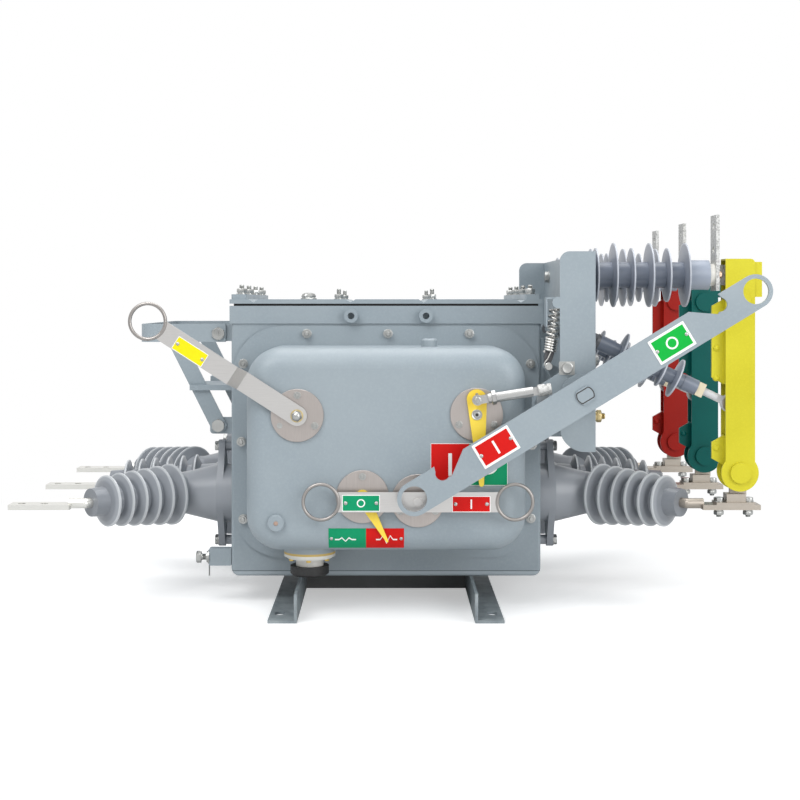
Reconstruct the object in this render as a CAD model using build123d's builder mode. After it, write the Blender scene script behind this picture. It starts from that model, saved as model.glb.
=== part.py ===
"""Pole-type 12 kV gas insulated breaker with a three-pole isolating switch on its right side.

Row frame, millimetres: +X to the right of the mechanism side, +Y away from it, +Z up.
The origin is on the ground, at the centre of the four foot slots, under the middle of the tank.
"""

from build123d import *
import math
import os

os.makedirs("parts", exist_ok=True)

# Tank
tank_width = 560.0
tank_depth = 480.0
foot_height = 50.0
tank_height = 489.0
tank_edge_radius = 14.0
tank_corner_radius = 5.0
band_height = 32.0
band_proud = 3.0

# Lid and its clamps
gasket_gap = 4.0
gasket_inset = 7.0
lid_thickness = 8.0
groove_width = 18.0
groove_depth = 6.0
groove_places = (-240.0, -64.0, 68.0, 244.0)
clamp_width = 28.0
clamp_thickness = 9.0

# Lifting bosses on the band
boss_places = (-63.0, 72.0)
boss_radius = 12.5
boss_hole_radius = 6.0
boss_length = 15.0
boss_drop = 18.0

# Mechanism cover on the front of the tank
cover_flange_width = 552.0
cover_flange_bottom = 84.5
cover_flange_gap = 4.5
cover_flange_thickness = 6.0
cover_flange_radius = 88.0
bulge_width = 480.0
bulge_bottom = 119.0
bulge_height = 349.0
bulge_reach = 152.0
bulge_corner_radius = 60.0
bulge_edge_radius = 36.0

# Dials on the cover, as X and height
dial_radius = 45.0
dial_thickness = 4.0
charging_dial = (-151.0, 353.0)
position_dial = (154.0, 355.0)
charge_dial = (-40.0, 215.0)
trip_dial = (54.0, 208.0)

# Feet
foot_overhang = 163.0
foot_angle = 50.0
foot_wall = 5.0
foot_web_spacing = 303.0
foot_slot_width = 18.0
foot_slot_length = 28.0
foot_slot_x = 184.5
foot_slot_inset = 59.0
cross_bar_y = 95.0
cross_bar_height = 40.0
cross_bar_thickness = 6.0

# Hanger on the left side
hanger_reach = 170.0
hanger_half_width = 216.0
hanger_bar = 6.0
hanger_bottom = 473.0
hanger_top = 506.0
hanger_bend = 24.0
lug_length = 42.0
lug_thickness = 8.0
lug_height = 30.0
lug_bolt_offset = 26.0
upper_lug_z = 489.5
lower_lug_z = 320.0
brace_width = 28.0
brace_top_x = -383.0
shelf_reach = 78.0
shelf_depth = 130.0
shelf_z = 385.0
shelf_thickness = 10.0

# Bushings
phase_pitch = 285.0
bushing_pitch = 139.0
bushing_z = 188.0
bushing_bend = 42.3
flange_radius = 54.0
ear_offset = 88.0
ear_radius = 12.0
ear_standoff = 21.0
ear_thickness = 12.0
ear_standoff_radius = 9.0
cone_start = 34.0
cone_length = 60.6
middle_cone_length = 22.6
cone_end_radius = 39.5
shed_count = 6
shed_first = 37.0
shed_pitch = 27.0
shed_first_radius = 56.5
shed_last_radius = 46.0
bushing_neck_radius = 25.0
bushing_reach = 206.0

# Terminal bars
rod_radius = 9.0
rod_stub = 12.0
bar_width = 40.0
bar_thickness = 9.0
bar_drop = 5.0
bar_end_left = 668.0
bar_end_right = 662.0
bar_start = 560.0
bar_hole_radius = 6.5
bar_hole_spacing = 40.0
bar_hole_inset = 20.0

# Isolator frame
frame_left = 298.0
frame_right = 359.0
frame_overhang = 142.0
frame_bottom = 289.0
frame_top = 633.0
frame_wall = 5.0
frame_upper_radius = 17.0
frame_lower_radius = 43.0
window_bottom = 372.0
window_top = 505.0
window_half_width = 42.0

# Isolator shaft and lever
shaft_x = 332.0
shaft_z = 390.5
shaft_radius = 16.0
shaft_flat = 13.0
lever_gap = 40.0
lever_thickness = 6.0
lever_width = 57.0
lever_half = 333.5
lever_angle = 31.3
lever_hole_radius = 21.5
lever_ring_radius = 26.5
bearing_radius = 32.0
bearing_thickness = 6.0

# Knife drive: crank pin, knife pin and hinge, as X and height
crank_pin = (350.0, 488.0)
knife_pin = (610.0, 366.0)
knife_hinge = (625.5, 244.0)
crank_thickness = 8.0
crank_boss_radius = 20.0
crank_tip_radius = 14.0
crank_pin_radius = 6.0
fork_gap = 12.0
fork_wall = 5.0
pivot_clearance = 0.1

# Post insulators and upper terminals
post_z = 594.0
post_end = 573.0
post_cap_length = 9.5
post_cap_radius = 20.0
post_base_radius = 30.0
post_base_length = 8.0
post_core_radius = 23.0
post_end_radius = 26.5
post_end_length = 35.0
post_shed_count = 6
post_shed_last = 531.0
post_shed_pitch = 31.7
post_large_radius = 57.0
post_small_radius = 48.0
terminal_thickness = 6.0
terminal_width = 45.0
terminal_bottom = 566.0
terminal_top = 700.0
terminal_hole_radius = 6.5
terminal_hole_heights = (638.5, 679.5)
tongue_thickness = 6.0
upper_tongue_end = 632.0
upper_tongue_height = 36.0

# Knives
blade_width = 30.0
blade_thickness = 3.0
blade_gap = 6.6
blade_top = 612.0
hinge_pin_radius = 6.0
knife_pin_radius = 5.0
knife_ear_radius = 13.0
knife_boss_radius = 18.0
knife_boss_height = 6.0
knife_boss_upper = 546.0
cover_left = 600.0
cover_right = 652.0
cover_top = 622.5
cover_wall = 3.0
cover_inside = 32.0
cover_end_radius = 33.0
cover_right_wall_end = 252.0
lip_reach = 13.0
lip_bottom = 555.0
lip_top = 617.0
tab_reach = 21.0
tab_chamfer = 12.0
upper_tab = (400.0, 551.0)
lower_tab = (256.0, 309.0)

# Lower contacts
contact_plate = (584.0, 651.0)
contact_plate_thickness = 4.0
contact_block = (603.0, 637.0)
contact_block_top = 206.0
contact_block_depth = 28.0
contact_bolts = (592.0, 644.0)
lower_tongue_radius = 15.0

# Drive insulators, measured along the rod from the crank pin
drive_fork_end = 32.0
drive_collar_end = 60.0
drive_collar_radius = 14.0
drive_core_radius = 13.0
drive_shed_count = 5
drive_shed_last = 182.0
drive_shed_pitch = 27.0
drive_large_radius = 36.0
drive_small_radius = 28.0
drive_end_start = 196.0
drive_end = 223.0
drive_nut_end = 236.0
drive_nut_radius = 12.5
drive_rod_radius = 7.0
drive_eye_radius = 16.0
open_pivot_slack = 5.5

# Toggle spring between the frame and the shaft
spring_anchor = (295.0, 545.0)
spring_crank_pin = (280.0, 435.0)
spring_inset = 24.0
spring_radius = 11.5
spring_wire = 3.0
spring_pin_radius = 4.0
spring_crank_inset = 43.0
spring_crank_thickness = 6.0
spring_crank_tip = 7.0

# Interlock between the position pointer and the isolator
interlock_gap = 23.0
interlock_pivot = (265.0, 372.0)
interlock_pin_radius = 4.0
interlock_pivot_radius = 6.0
interlock_rod_radius = 8.5
interlock_eye_radius = 9.0
interlock_eye_thickness = 8.0
interlock_plate_thickness = 5.0
interlock_plate_gap = 14.0
pointer_arm = 26.0
pointer_thickness = 5.0
pointer_gap = 2.0
pointer_tip = (162.0, 237.0)
pointer_head_radius = 17.0
pointer_tail_radius = 4.0

# Charge pointer
charge_tip = (2.0, 140.0)
charge_pointer_thickness = 2.5
charge_hub_radius = 12.0
charge_shaft_radius = 8.0

# Charging handle
charging_angle = 147.3
charging_reach = 297.0
charging_width = 34.0
charging_thickness = 5.0
charging_joggle = 112.0
joggle_run = 18.0
joggle_step = 20.7
ring_radius = 33.0
ring_wire = 6.0
hub_radius = 8.0
hub_gap = 0.3

# Trip handle
trip_half = 164.0
trip_width = 34.0
trip_thickness = 4.0
trip_gap = 12.0

# Derived planes and places
tank_top = foot_height + tank_height
tank_front = -tank_depth / 2
tank_side = tank_width / 2
band_bottom = tank_top - band_height
boss_height = tank_top - boss_drop
lid_bottom = tank_top + gasket_gap
lid_top = lid_bottom + lid_thickness
cover_flange_face = tank_front - cover_flange_thickness
bulge_face = cover_flange_face - bulge_reach
dial_face = bulge_face - dial_thickness
cover_flange_height = band_bottom - cover_flange_gap - cover_flange_bottom
foot_length = tank_depth + 2 * foot_overhang
foot_slot_y = foot_length / 2 - foot_slot_inset
frame_half_length = tank_depth / 2 + frame_overhang
spring_y = spring_inset - frame_half_length
spring_crank_y = spring_crank_inset - frame_half_length
lever_back = dial_face - lever_gap
trip_face = dial_face - trip_gap
interlock_y = dial_face - interlock_gap
interlock_plate_face = dial_face - interlock_plate_gap
phases = {"front": -1, "middle": 0, "rear": 1}


def front_plane(y):
    """A plane that faces the viewer at depth y, with X to the right and Z up."""
    return Plane.XZ.offset(-y)


def side_plane(x):
    """A plane that faces right at x, with Y to the right and Z up."""
    return Plane.YZ.offset(x)


def save(part, name):
    part.label = name
    export_step(part, f"parts/{name}.step")


# Tank: a welded steel box with rounded lower edges and a proud band under the lid.
with BuildPart() as tank_body:
    with BuildSketch(front_plane(-tank_front)):
        with Locations((0, foot_height + tank_height / 2)):
            Rectangle(tank_width, tank_height)
        fillet(vertices().group_by(Axis.Y)[0], tank_edge_radius)
    extrude(amount=tank_depth)
    fillet(edges().filter_by(Axis.Z), tank_corner_radius)
    with Locations((0, 0, tank_top - band_height / 2)):
        Box(tank_width + 2 * band_proud, tank_depth + 2 * band_proud, band_height)
save(tank_body.part, "tank_body")

# Lid: a pressed plate on a gasket, with grooves that run front to back.
lid_half_width = tank_side + band_proud
lid_half_depth = tank_depth / 2 + band_proud
with BuildPart() as tank_lid:
    with BuildSketch(Plane.XY.offset(tank_top)):
        Rectangle(2 * (lid_half_width - gasket_inset), 2 * (lid_half_depth - gasket_inset))
    extrude(amount=gasket_gap)
    with BuildSketch(front_plane(lid_half_depth)):
        with Locations((0, lid_bottom + lid_thickness / 2)):
            Rectangle(2 * lid_half_width, lid_thickness)
        for groove in groove_places:
            with BuildLine():
                Polyline(
                    (groove - groove_width / 2, lid_top),
                    (groove, lid_top - groove_depth),
                    (groove + groove_width / 2, lid_top),
                    close=True,
                )
            make_face(mode=Mode.SUBTRACT)
    extrude(amount=2 * lid_half_depth)
save(tank_lid.part, "tank_lid")

# Clamp bars: flat bars along both sides of the lid.
clamp_x = tank_side - clamp_width / 2
with BuildPart() as lid_clamps:
    with Locations(
        (-clamp_x, 0, lid_top + clamp_thickness / 2), (clamp_x, 0, lid_top + clamp_thickness / 2)
    ):
        Box(clamp_width, tank_depth, clamp_thickness)
    fillet(edges().filter_by(Axis.Z), 3)
save(lid_clamps.part, "lid_clamps")

# Lifting bosses: short drilled studs welded to the band, front and back.
band_face = -tank_front + band_proud
with BuildPart() as lifting_bosses:
    for face in (-band_face, band_face):
        with BuildSketch(front_plane(face)):
            with Locations(*[(place, boss_height) for place in boss_places]):
                Circle(boss_radius)
                Circle(boss_hole_radius, mode=Mode.SUBTRACT)
        extrude(amount=math.copysign(boss_length, -face))
save(lifting_bosses.part, "lifting_bosses")

# Mechanism cover: a deep drawn bulge with rounded edges on a bolted flange.
with BuildPart() as mechanism_cover:
    with BuildSketch(front_plane(tank_front)):
        with Locations((0, cover_flange_bottom + cover_flange_height / 2)):
            RectangleRounded(cover_flange_width, cover_flange_height, cover_flange_radius)
    extrude(amount=cover_flange_thickness)
    with BuildSketch(front_plane(cover_flange_face)):
        with Locations((0, bulge_bottom + bulge_height / 2)):
            RectangleRounded(bulge_width, bulge_height, bulge_corner_radius)
    extrude(amount=bulge_reach)
    fillet(faces().sort_by(Axis.Y)[0].edges(), bulge_edge_radius)
save(mechanism_cover.part, "mechanism_cover")

# Cover plugs: a filler plug on top of the bulge and a round inspection plug low on its face.
top_plug_x = 76.0
top_plug_y = cover_flange_face - bulge_reach / 2
top_plug_radius = 14.0
top_plug_height = 14.0
face_plug = (-187.0, 170.0)
face_plug_radius = 14.6
face_plug_height = 8.0
socket_radius = 4.0
bulge_top = bulge_bottom + bulge_height
with BuildPart() as cover_plugs:
    with BuildSketch(Plane.XY.offset(bulge_top)):
        with Locations((top_plug_x, top_plug_y)):
            Circle(top_plug_radius)
    extrude(amount=top_plug_height)
    chamfer(faces().sort_by(Axis.Z)[-1].edges(), 3)
    with BuildSketch(front_plane(bulge_face)):
        with Locations(face_plug):
            Circle(face_plug_radius)
    extrude(amount=face_plug_height)
    chamfer(faces().sort_by(Axis.Y)[0].edges(), 2)
    with BuildSketch(front_plane(bulge_face - face_plug_height)):
        with Locations(face_plug):
            Circle(socket_radius)
    extrude(amount=-face_plug_height / 2, mode=Mode.SUBTRACT)
save(cover_plugs.part, "cover_plugs")

# Dial discs: stainless cover discs round the four mechanism shafts.
with BuildPart() as dial_discs:
    with BuildSketch(front_plane(bulge_face)):
        with Locations(charging_dial, position_dial, charge_dial, trip_dial):
            Circle(dial_radius)
    extrude(amount=dial_thickness)
    chamfer(edges().filter_by(GeomType.CIRCLE).group_by(Axis.Y)[0], 0.6)
save(dial_discs.part, "dial_discs")

# Connector: a capped control socket under the bulge.
connector_x = -134.0
connector_reach = 70.0
connector_radius = 45.0
connector_flange = 18.0
connector_plate = 3.0
connector_plate_radius = 40.0
sleeve_radius = 24.0
sleeve_length = 14.0
cap_radius = 34.0
cap_length = 17.0
connector_y = cover_flange_face - connector_reach
socket_plate_z = bulge_bottom - connector_flange
sleeve_top = socket_plate_z - connector_plate
cap_top = sleeve_top - sleeve_length
with BuildPart() as connector_socket:
    with BuildSketch(Plane.XY.offset(bulge_bottom)):
        with Locations((connector_x, connector_y)):
            Circle(connector_radius)
    extrude(amount=-connector_flange)
    with BuildSketch(Plane.XY.offset(socket_plate_z)):
        with Locations((connector_x, connector_y)):
            Circle(connector_plate_radius)
    extrude(amount=-connector_plate)
    with BuildSketch(Plane.XY.offset(sleeve_top)):
        with Locations((connector_x, connector_y)):
            Circle(sleeve_radius)
    extrude(amount=-sleeve_length)
save(connector_socket.part, "connector_socket")

with BuildPart() as connector_cap:
    with BuildSketch(Plane.XY.offset(cap_top)):
        with Locations((connector_x, connector_y)):
            Circle(cap_radius)
    extrude(amount=-cap_length)
    chamfer(faces().sort_by(Axis.Z)[0].edges(), 4)
save(connector_cap.part, "connector_cap")

# Earth terminal: a drilled lug on the lower left edge.
earth_length = 40.0
earth_bottom = 69.0
earth_height = 31.0
earth_thickness = 8.0
earth_hole_radius = 6.5
with BuildPart() as earth_terminal:
    with BuildSketch(front_plane(tank_front + tank_corner_radius + earth_thickness)):
        with Locations((-tank_side - earth_length / 2, earth_bottom + earth_height / 2)):
            Rectangle(earth_length, earth_height)
            Circle(earth_hole_radius, mode=Mode.SUBTRACT)
        fillet(vertices().group_by(Axis.X)[0], 6)
    extrude(amount=earth_thickness)
save(earth_terminal.part, "earth_terminal")

# Feet: two steel angles along Y, the upright leg inside, with a slot near each end.
web_inner = foot_web_spacing / 2
for side, name in ((-1, "foot_rail_left"), (1, "foot_rail_right")):
    with BuildPart() as foot_rail:
        with Locations((side * (web_inner + foot_wall / 2), 0, foot_angle / 2)):
            Box(foot_wall, foot_length, foot_angle)
        with Locations((side * (web_inner + foot_angle / 2), 0, foot_wall / 2)):
            Box(foot_angle, foot_length, foot_wall)
        with BuildSketch(Plane.XY):
            with Locations((side * foot_slot_x, -foot_slot_y), (side * foot_slot_x, foot_slot_y)):
                SlotOverall(foot_slot_length, foot_slot_width, rotation=90)
        extrude(amount=foot_wall, mode=Mode.SUBTRACT)
    save(foot_rail.part, name)

# Cross bars: upright flats that tie the two foot rails together.
with BuildPart() as cross_bars:
    with Locations((0, -cross_bar_y, cross_bar_height / 2), (0, cross_bar_y, cross_bar_height / 2)):
        Box(2 * web_inner, cross_bar_thickness, cross_bar_height)
save(cross_bars.part, "cross_bars")

# Hanger: a flat bar hoop on four lugs, with braces and small shelves.
hoop_outer = -tank_side - hanger_reach
hoop_start = -tank_side - lug_bolt_offset / 2
bar_inner = hanger_half_width - hanger_bar
lug_outer = -tank_side - lug_length
lug_bolt_x = -tank_side - lug_bolt_offset
with BuildPart() as hanger_hoop:
    with BuildSketch(Plane.XY.offset(hanger_bottom)):
        with Locations(((hoop_start + hoop_outer) / 2, 0)):
            Rectangle(hoop_start - hoop_outer, 2 * hanger_half_width)
        fillet(vertices().group_by(Axis.X)[0], hanger_bend)
        inner_left = hoop_outer + hanger_bar
        inner_right = hoop_start + hanger_bend
        with Locations(((inner_left + inner_right) / 2, 0)):
            RectangleRounded(
                inner_right - inner_left,
                2 * bar_inner,
                hanger_bend - hanger_bar,
                mode=Mode.SUBTRACT,
            )
    extrude(amount=hanger_top - hanger_bottom)
save(hanger_hoop.part, "hanger_hoop")

with BuildPart() as hanger_lugs:
    for lug_z in (lower_lug_z, upper_lug_z):
        for row in (-1, 1):
            with Locations(
                (
                    -tank_side - lug_length / 2,
                    row * (bar_inner - lug_thickness / 2),
                    lug_z,
                )
            ):
                Box(lug_length, lug_thickness, lug_height)
    fillet(edges().filter_by(Axis.Y).group_by(Axis.X)[0], 6)
save(hanger_lugs.part, "hanger_lugs")

brace_run = lug_bolt_x - brace_top_x
brace_drop = hanger_bottom - lower_lug_z
brace_half = brace_width / 2 * math.hypot(brace_run, brace_drop) / brace_drop
with BuildPart() as hanger_braces:
    for row in (-1, 1):
        with BuildSketch(front_plane(row * (hanger_half_width - hanger_bar / 2))):
            with BuildLine():
                Polyline(
                    (brace_top_x - brace_half, hanger_bottom),
                    (brace_top_x + brace_half, hanger_bottom),
                    (lug_bolt_x + brace_half, lower_lug_z),
                    (lug_bolt_x - brace_half, lower_lug_z),
                    close=True,
                )
            make_face()
            with Locations((lug_bolt_x, lower_lug_z)):
                Circle(brace_width / 2)
        extrude(amount=hanger_bar / 2, both=True)
save(hanger_braces.part, "hanger_braces")

# Each shelf reaches past its brace and is notched for it.
brace_at_shelf = brace_top_x + brace_run * (hanger_bottom - shelf_z) / brace_drop
notch_right = brace_at_shelf + brace_half + 2
shelf_outer = hanger_half_width + hanger_bar
shelf_left = -tank_side - shelf_reach
with BuildPart() as hanger_shelves:
    for row in (-1, 1):
        with Locations(
            (
                -tank_side - shelf_reach / 2,
                row * (shelf_outer - shelf_depth / 2),
                shelf_z + shelf_thickness / 2,
            )
        ):
            Box(shelf_reach, shelf_depth, shelf_thickness)
        with Locations(
            (
                (shelf_left + notch_right) / 2,
                row * (hanger_half_width - hanger_bar / 2),
                shelf_z + shelf_thickness / 2,
            )
        ):
            Box(notch_right - shelf_left, hanger_bar, shelf_thickness, mode=Mode.SUBTRACT)
save(hanger_shelves.part, "hanger_shelves")


def shed_profile(start, end, centres, core, rims, foot, edge):
    """Points of a half outline with sheds: start, end and centres along the axis."""
    points = [(start, 0), (start, core(start))]
    for centre, rim in zip(centres, rims):
        points.append((centre - foot, core(centre - foot)))
        points.append((centre - edge, rim))
        points.append((centre + edge, rim))
        points.append((centre + foot, core(centre + foot)))
    points.append((end, core(end)))
    points.append((end, 0))
    return points


def axis_plane(origin, direction):
    """A plane through an axis, with its X along the axis and its Y upwards from it."""
    along = Vector(*direction).normalized()
    slanted = abs(along.Z) > 0.01
    normal = along.cross(Vector(0, 1, 0) if slanted else Vector(0, 0, 1))
    return Plane(origin, x_dir=along, z_dir=normal)


def turned(origin, direction, points):
    """Revolves a half outline about an axis."""
    plane = axis_plane(origin, direction)
    with BuildPart() as solid:
        with BuildSketch(plane):
            with BuildLine():
                Polyline(*points, close=True)
            make_face()
        revolve(axis=Axis(origin, plane.x_dir))
    return solid.part


def phase_direction(side, phase):
    """The axis of a bushing beyond its bend: the outer phases lean away from the middle one."""
    lean = math.radians(bushing_bend) * phase
    return (side * math.cos(lean), math.sin(lean), 0)


def cone_end(phase):
    """Where a bushing's cone ends, measured from the tank: the middle one is shorter."""
    return cone_start + (cone_length if phase else middle_cone_length)


def bushing_point(side, phase, reach):
    """A point on a bushing's axis, at a reach beyond its bend."""
    along = phase_direction(side, phase)
    bend_x = side * (tank_side + cone_end(phase))
    return (bend_x + along[0] * reach, phase * bushing_pitch + along[1] * reach, bushing_z)


def bushing(side, phase):
    """A cast resin bushing: eared flange, cone, leaning body with tapering sheds, and neck."""
    root = (side * tank_side, phase * bushing_pitch, bushing_z)
    centres = [shed_first + shed_pitch * i for i in range(shed_count)]
    taper = (shed_last_radius - shed_first_radius) / (shed_count - 1)
    rims = [shed_first_radius + taper * i for i in range(shed_count)]
    slope = (bushing_neck_radius - cone_end_radius) / bushing_reach
    cone_points = [
        (0, 0),
        (0, flange_radius),
        (cone_start, flange_radius),
        (cone_end(phase), cone_end_radius),
        (cone_end(phase), 0),
    ]
    body_points = shed_profile(
        0, bushing_reach, centres, lambda s: cone_end_radius + slope * s, rims, 9, 1.5
    )
    ears = Plane(root, x_dir=(0, 1, 0), z_dir=(side, 0, 0))
    with BuildPart() as solid:
        with BuildSketch(ears.offset(ear_standoff)):
            Circle(flange_radius)
            with Locations((0, ear_offset), (0, -ear_offset)):
                Circle(ear_radius)
            make_hull()
        extrude(amount=ear_thickness)
        with BuildSketch(ears):
            with Locations((0, ear_offset), (0, -ear_offset)):
                Circle(ear_standoff_radius)
        extrude(amount=ear_standoff)
        add(turned(root, (side, 0, 0), cone_points))
        add(turned(bushing_point(side, phase, 0), phase_direction(side, phase), body_points))
        if phase:
            with Locations(bushing_point(side, phase, 0)):
                Sphere(cone_end_radius)
    return solid.part


for side, side_name in ((-1, "left"), (1, "right")):
    for phase_name, phase in phases.items():
        save(bushing(side, phase), f"bushing_{side_name}_{phase_name}")


def rod_and_bar(side, phase, bar_end, hole_places):
    """A terminal rod out of a bushing, turned parallel to X, that ends in a flat bar."""
    start = bushing_point(side, phase, bushing_reach)
    elbow = bushing_point(side, phase, bushing_reach + rod_stub)
    bar_z = bushing_z - bar_drop
    along = phase_direction(side, phase)
    stub = [(0, 0), (0, rod_radius), (rod_stub, rod_radius), (rod_stub, 0)]
    run = bar_start + 4 - abs(elbow[0])
    straight = [(0, 0), (0, rod_radius), (run, rod_radius), (run, 0)]
    with BuildPart() as solid:
        add(turned(start, along, stub))
        if phase:
            with Locations(elbow):
                Sphere(rod_radius)
        add(turned(elbow, (side, 0, 0), straight))
        with Locations((side * (bar_start + bar_end) / 2, phase * phase_pitch, bar_z)):
            Box(bar_end - bar_start, bar_width, bar_thickness)
        with BuildSketch(Plane.XY.offset(bar_z - bar_thickness)):
            with Locations(*[(side * place, phase * phase_pitch) for place in hole_places]):
                Circle(bar_hole_radius)
        extrude(amount=2 * bar_thickness, mode=Mode.SUBTRACT)
    return solid.part


outer_hole = bar_end_left - bar_hole_inset
left_holes = (outer_hole, outer_hole - bar_hole_spacing)
with BuildPart() as terminal_bars:
    for phase in phases.values():
        add(rod_and_bar(-1, phase, bar_end_left, left_holes))
save(terminal_bars.part, "terminal_bars")

# Lower contacts: copper bars with a clamped block and the tongue that carries a knife's hinge.
bar_top = bushing_z - bar_drop + bar_thickness / 2
with BuildPart() as lower_contacts:
    for phase in phases.values():
        y = phase * phase_pitch
        add(rod_and_bar(1, phase, bar_end_right, contact_bolts))
        with Locations((sum(contact_plate) / 2, y, bar_top + contact_plate_thickness / 2)):
            Box(contact_plate[1] - contact_plate[0], bar_width, contact_plate_thickness)
        plate_top = bar_top + contact_plate_thickness
        with BuildSketch(Plane.XY.offset(plate_top)):
            with Locations(*[(place, y) for place in contact_bolts]):
                Circle(bar_hole_radius)
        extrude(amount=-contact_plate_thickness, mode=Mode.SUBTRACT)
        with Locations((sum(contact_block) / 2, y, (plate_top + contact_block_top) / 2)):
            Box(
                contact_block[1] - contact_block[0],
                contact_block_depth,
                contact_block_top - plate_top,
            )
        with BuildSketch(front_plane(y + tongue_thickness / 2)):
            with Locations(knife_hinge):
                Circle(lower_tongue_radius)
            with Locations((knife_hinge[0], contact_block_top - 2)):
                Rectangle(2 * lower_tongue_radius, 4)
            make_hull()
            with Locations(knife_hinge):
                Circle(hinge_pin_radius, mode=Mode.SUBTRACT)
        extrude(amount=tongue_thickness)
save(lower_contacts.part, "lower_contacts")

# Isolator frame: side plates joined by two rails and four uprights, welded edge to edge.
# The rails and uprights form the web that faces right and carries the posts.
frame_height = frame_top - frame_bottom
frame_middle_z = (frame_top + frame_bottom) / 2
plate_face = -frame_half_length
plate_inner = frame_half_length - frame_wall
web_left = frame_right - frame_wall
anchor_tab_radius = 10.0
nose = (
    (frame_left + 2, 427.0),
    (257.0, 399.0),
    (250.0, 388.0),
    (250.0, 352.0),
    (frame_left + 2, 338.0),
)
with BuildPart() as frame_plates:
    for row in (-1, 1):
        with BuildSketch(front_plane(row * (plate_inner + frame_wall / 2))):
            with Locations(((frame_left + frame_right) / 2, frame_middle_z)):
                Rectangle(frame_right - frame_left, frame_height)
            left_corners = vertices().group_by(Axis.X)[0].sort_by(Axis.Y)
            fillet(left_corners[0], frame_lower_radius)
            fillet(vertices().sort_by(Axis.Y)[-2:].sort_by(Axis.X)[0], frame_upper_radius)
            if row < 0:
                with BuildLine():
                    Polyline(*nose, close=True)
                make_face()
                with Locations(spring_anchor):
                    Circle(anchor_tab_radius)
                with Locations(((spring_anchor[0] + frame_left + 2) / 2, spring_anchor[1])):
                    Rectangle(frame_left + 2 - spring_anchor[0], 2 * anchor_tab_radius)
            with Locations((shaft_x, shaft_z)):
                Circle(shaft_radius + pivot_clearance, mode=Mode.SUBTRACT)
        extrude(amount=frame_wall / 2, both=True)
    with BuildSketch(front_plane(-plate_inner)):
        with Locations(spring_anchor):
            Circle(spring_pin_radius)
    extrude(amount=-(plate_inner + spring_y + spring_radius))
    with BuildSketch(front_plane(plate_face)):
        with Locations(interlock_pivot):
            Circle(interlock_pivot_radius)
    extrude(amount=plate_face - interlock_plate_face)
web_x = (web_left + frame_right) / 2
with BuildPart() as frame_rails:
    for bottom, top in ((frame_bottom, window_bottom), (window_top, frame_top)):
        with Locations((web_x, 0, (bottom + top) / 2)):
            Box(frame_wall, 2 * plate_inner, top - bottom)
window_sides = [-plate_inner]
for phase in sorted(phases.values()):
    window_sides += [
        phase * phase_pitch - window_half_width,
        phase * phase_pitch + window_half_width,
    ]
window_sides.append(plate_inner)
with BuildPart() as frame_uprights:
    for near, far in zip(window_sides[::2], window_sides[1::2]):
        with Locations((web_x, (near + far) / 2, (window_bottom + window_top) / 2)):
            Box(frame_wall, far - near, window_top - window_bottom)
frame_pieces = [
    *frame_plates.part.solids(),
    *frame_rails.part.solids(),
    *frame_uprights.part.solids(),
]
save(Compound(children=frame_pieces), "isolator_frame")

# Frame arms: notched plates that carry the frame from feet on the tank's right side.
arm_y = 210.0
arm_thickness = 8.0
arm_bottom = 300.0
arm_top = 480.0
arm_foot_width = 44.0
arm_foot_thickness = 6.0
arm_notch = 32.0
with BuildPart() as frame_arms:
    for row in (-1, 1):
        with BuildSketch(front_plane(row * arm_y)):
            with Locations(((tank_side + web_left) / 2, (arm_bottom + arm_top) / 2)):
                Rectangle(web_left - tank_side, arm_top - arm_bottom)
            with Locations((shaft_x, shaft_z)):
                Circle(arm_notch, mode=Mode.SUBTRACT)
            with Locations(((shaft_x + web_left) / 2, shaft_z)):
                Rectangle(web_left - shaft_x, 2 * arm_notch, mode=Mode.SUBTRACT)
        extrude(amount=arm_thickness / 2, both=True)
        with Locations(
            (tank_side + arm_foot_thickness / 2, row * arm_y, (arm_bottom + arm_top) / 2)
        ):
            Box(arm_foot_thickness, arm_foot_width, arm_top - arm_bottom)
save(frame_arms.part, "frame_arms")

# Shaft bearings: turned discs on the outside of the frame's two side plates.
with BuildPart() as shaft_bearings:
    for row in (-1, 1):
        with BuildSketch(front_plane(row * (frame_half_length + bearing_thickness / 2))):
            with Locations((shaft_x, shaft_z)):
                Circle(bearing_radius)
                Circle(shaft_radius + pivot_clearance, mode=Mode.SUBTRACT)
        extrude(amount=bearing_thickness / 2, both=True)
save(shaft_bearings.part, "shaft_bearings")


def post_insulator(phase):
    """A ribbed post along X, from a base on the frame's web to a metal cap."""
    length = post_end - frame_right
    last = post_shed_last - frame_right
    centres = [last - post_shed_pitch * (post_shed_count - 1 - i) for i in range(post_shed_count)]
    rims = [post_small_radius if i % 2 == 0 else post_large_radius for i in range(post_shed_count)]
    points = [(0, 0), (0, post_base_radius), (post_base_length, post_base_radius)]
    points += shed_profile(
        post_base_length, length, centres, lambda s: post_core_radius, rims, 4, 1.2
    )[1:-2]
    points += [
        (length - post_end_length, post_core_radius),
        (length - post_end_length, post_end_radius),
        (length, post_end_radius),
        (length, post_cap_radius),
        (length + post_cap_length, post_cap_radius),
        (length + post_cap_length, 0),
    ]
    return turned((frame_right, phase * phase_pitch, post_z), (1, 0, 0), points)


for phase_name, phase in phases.items():
    save(post_insulator(phase), f"post_insulator_{phase_name}")

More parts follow.
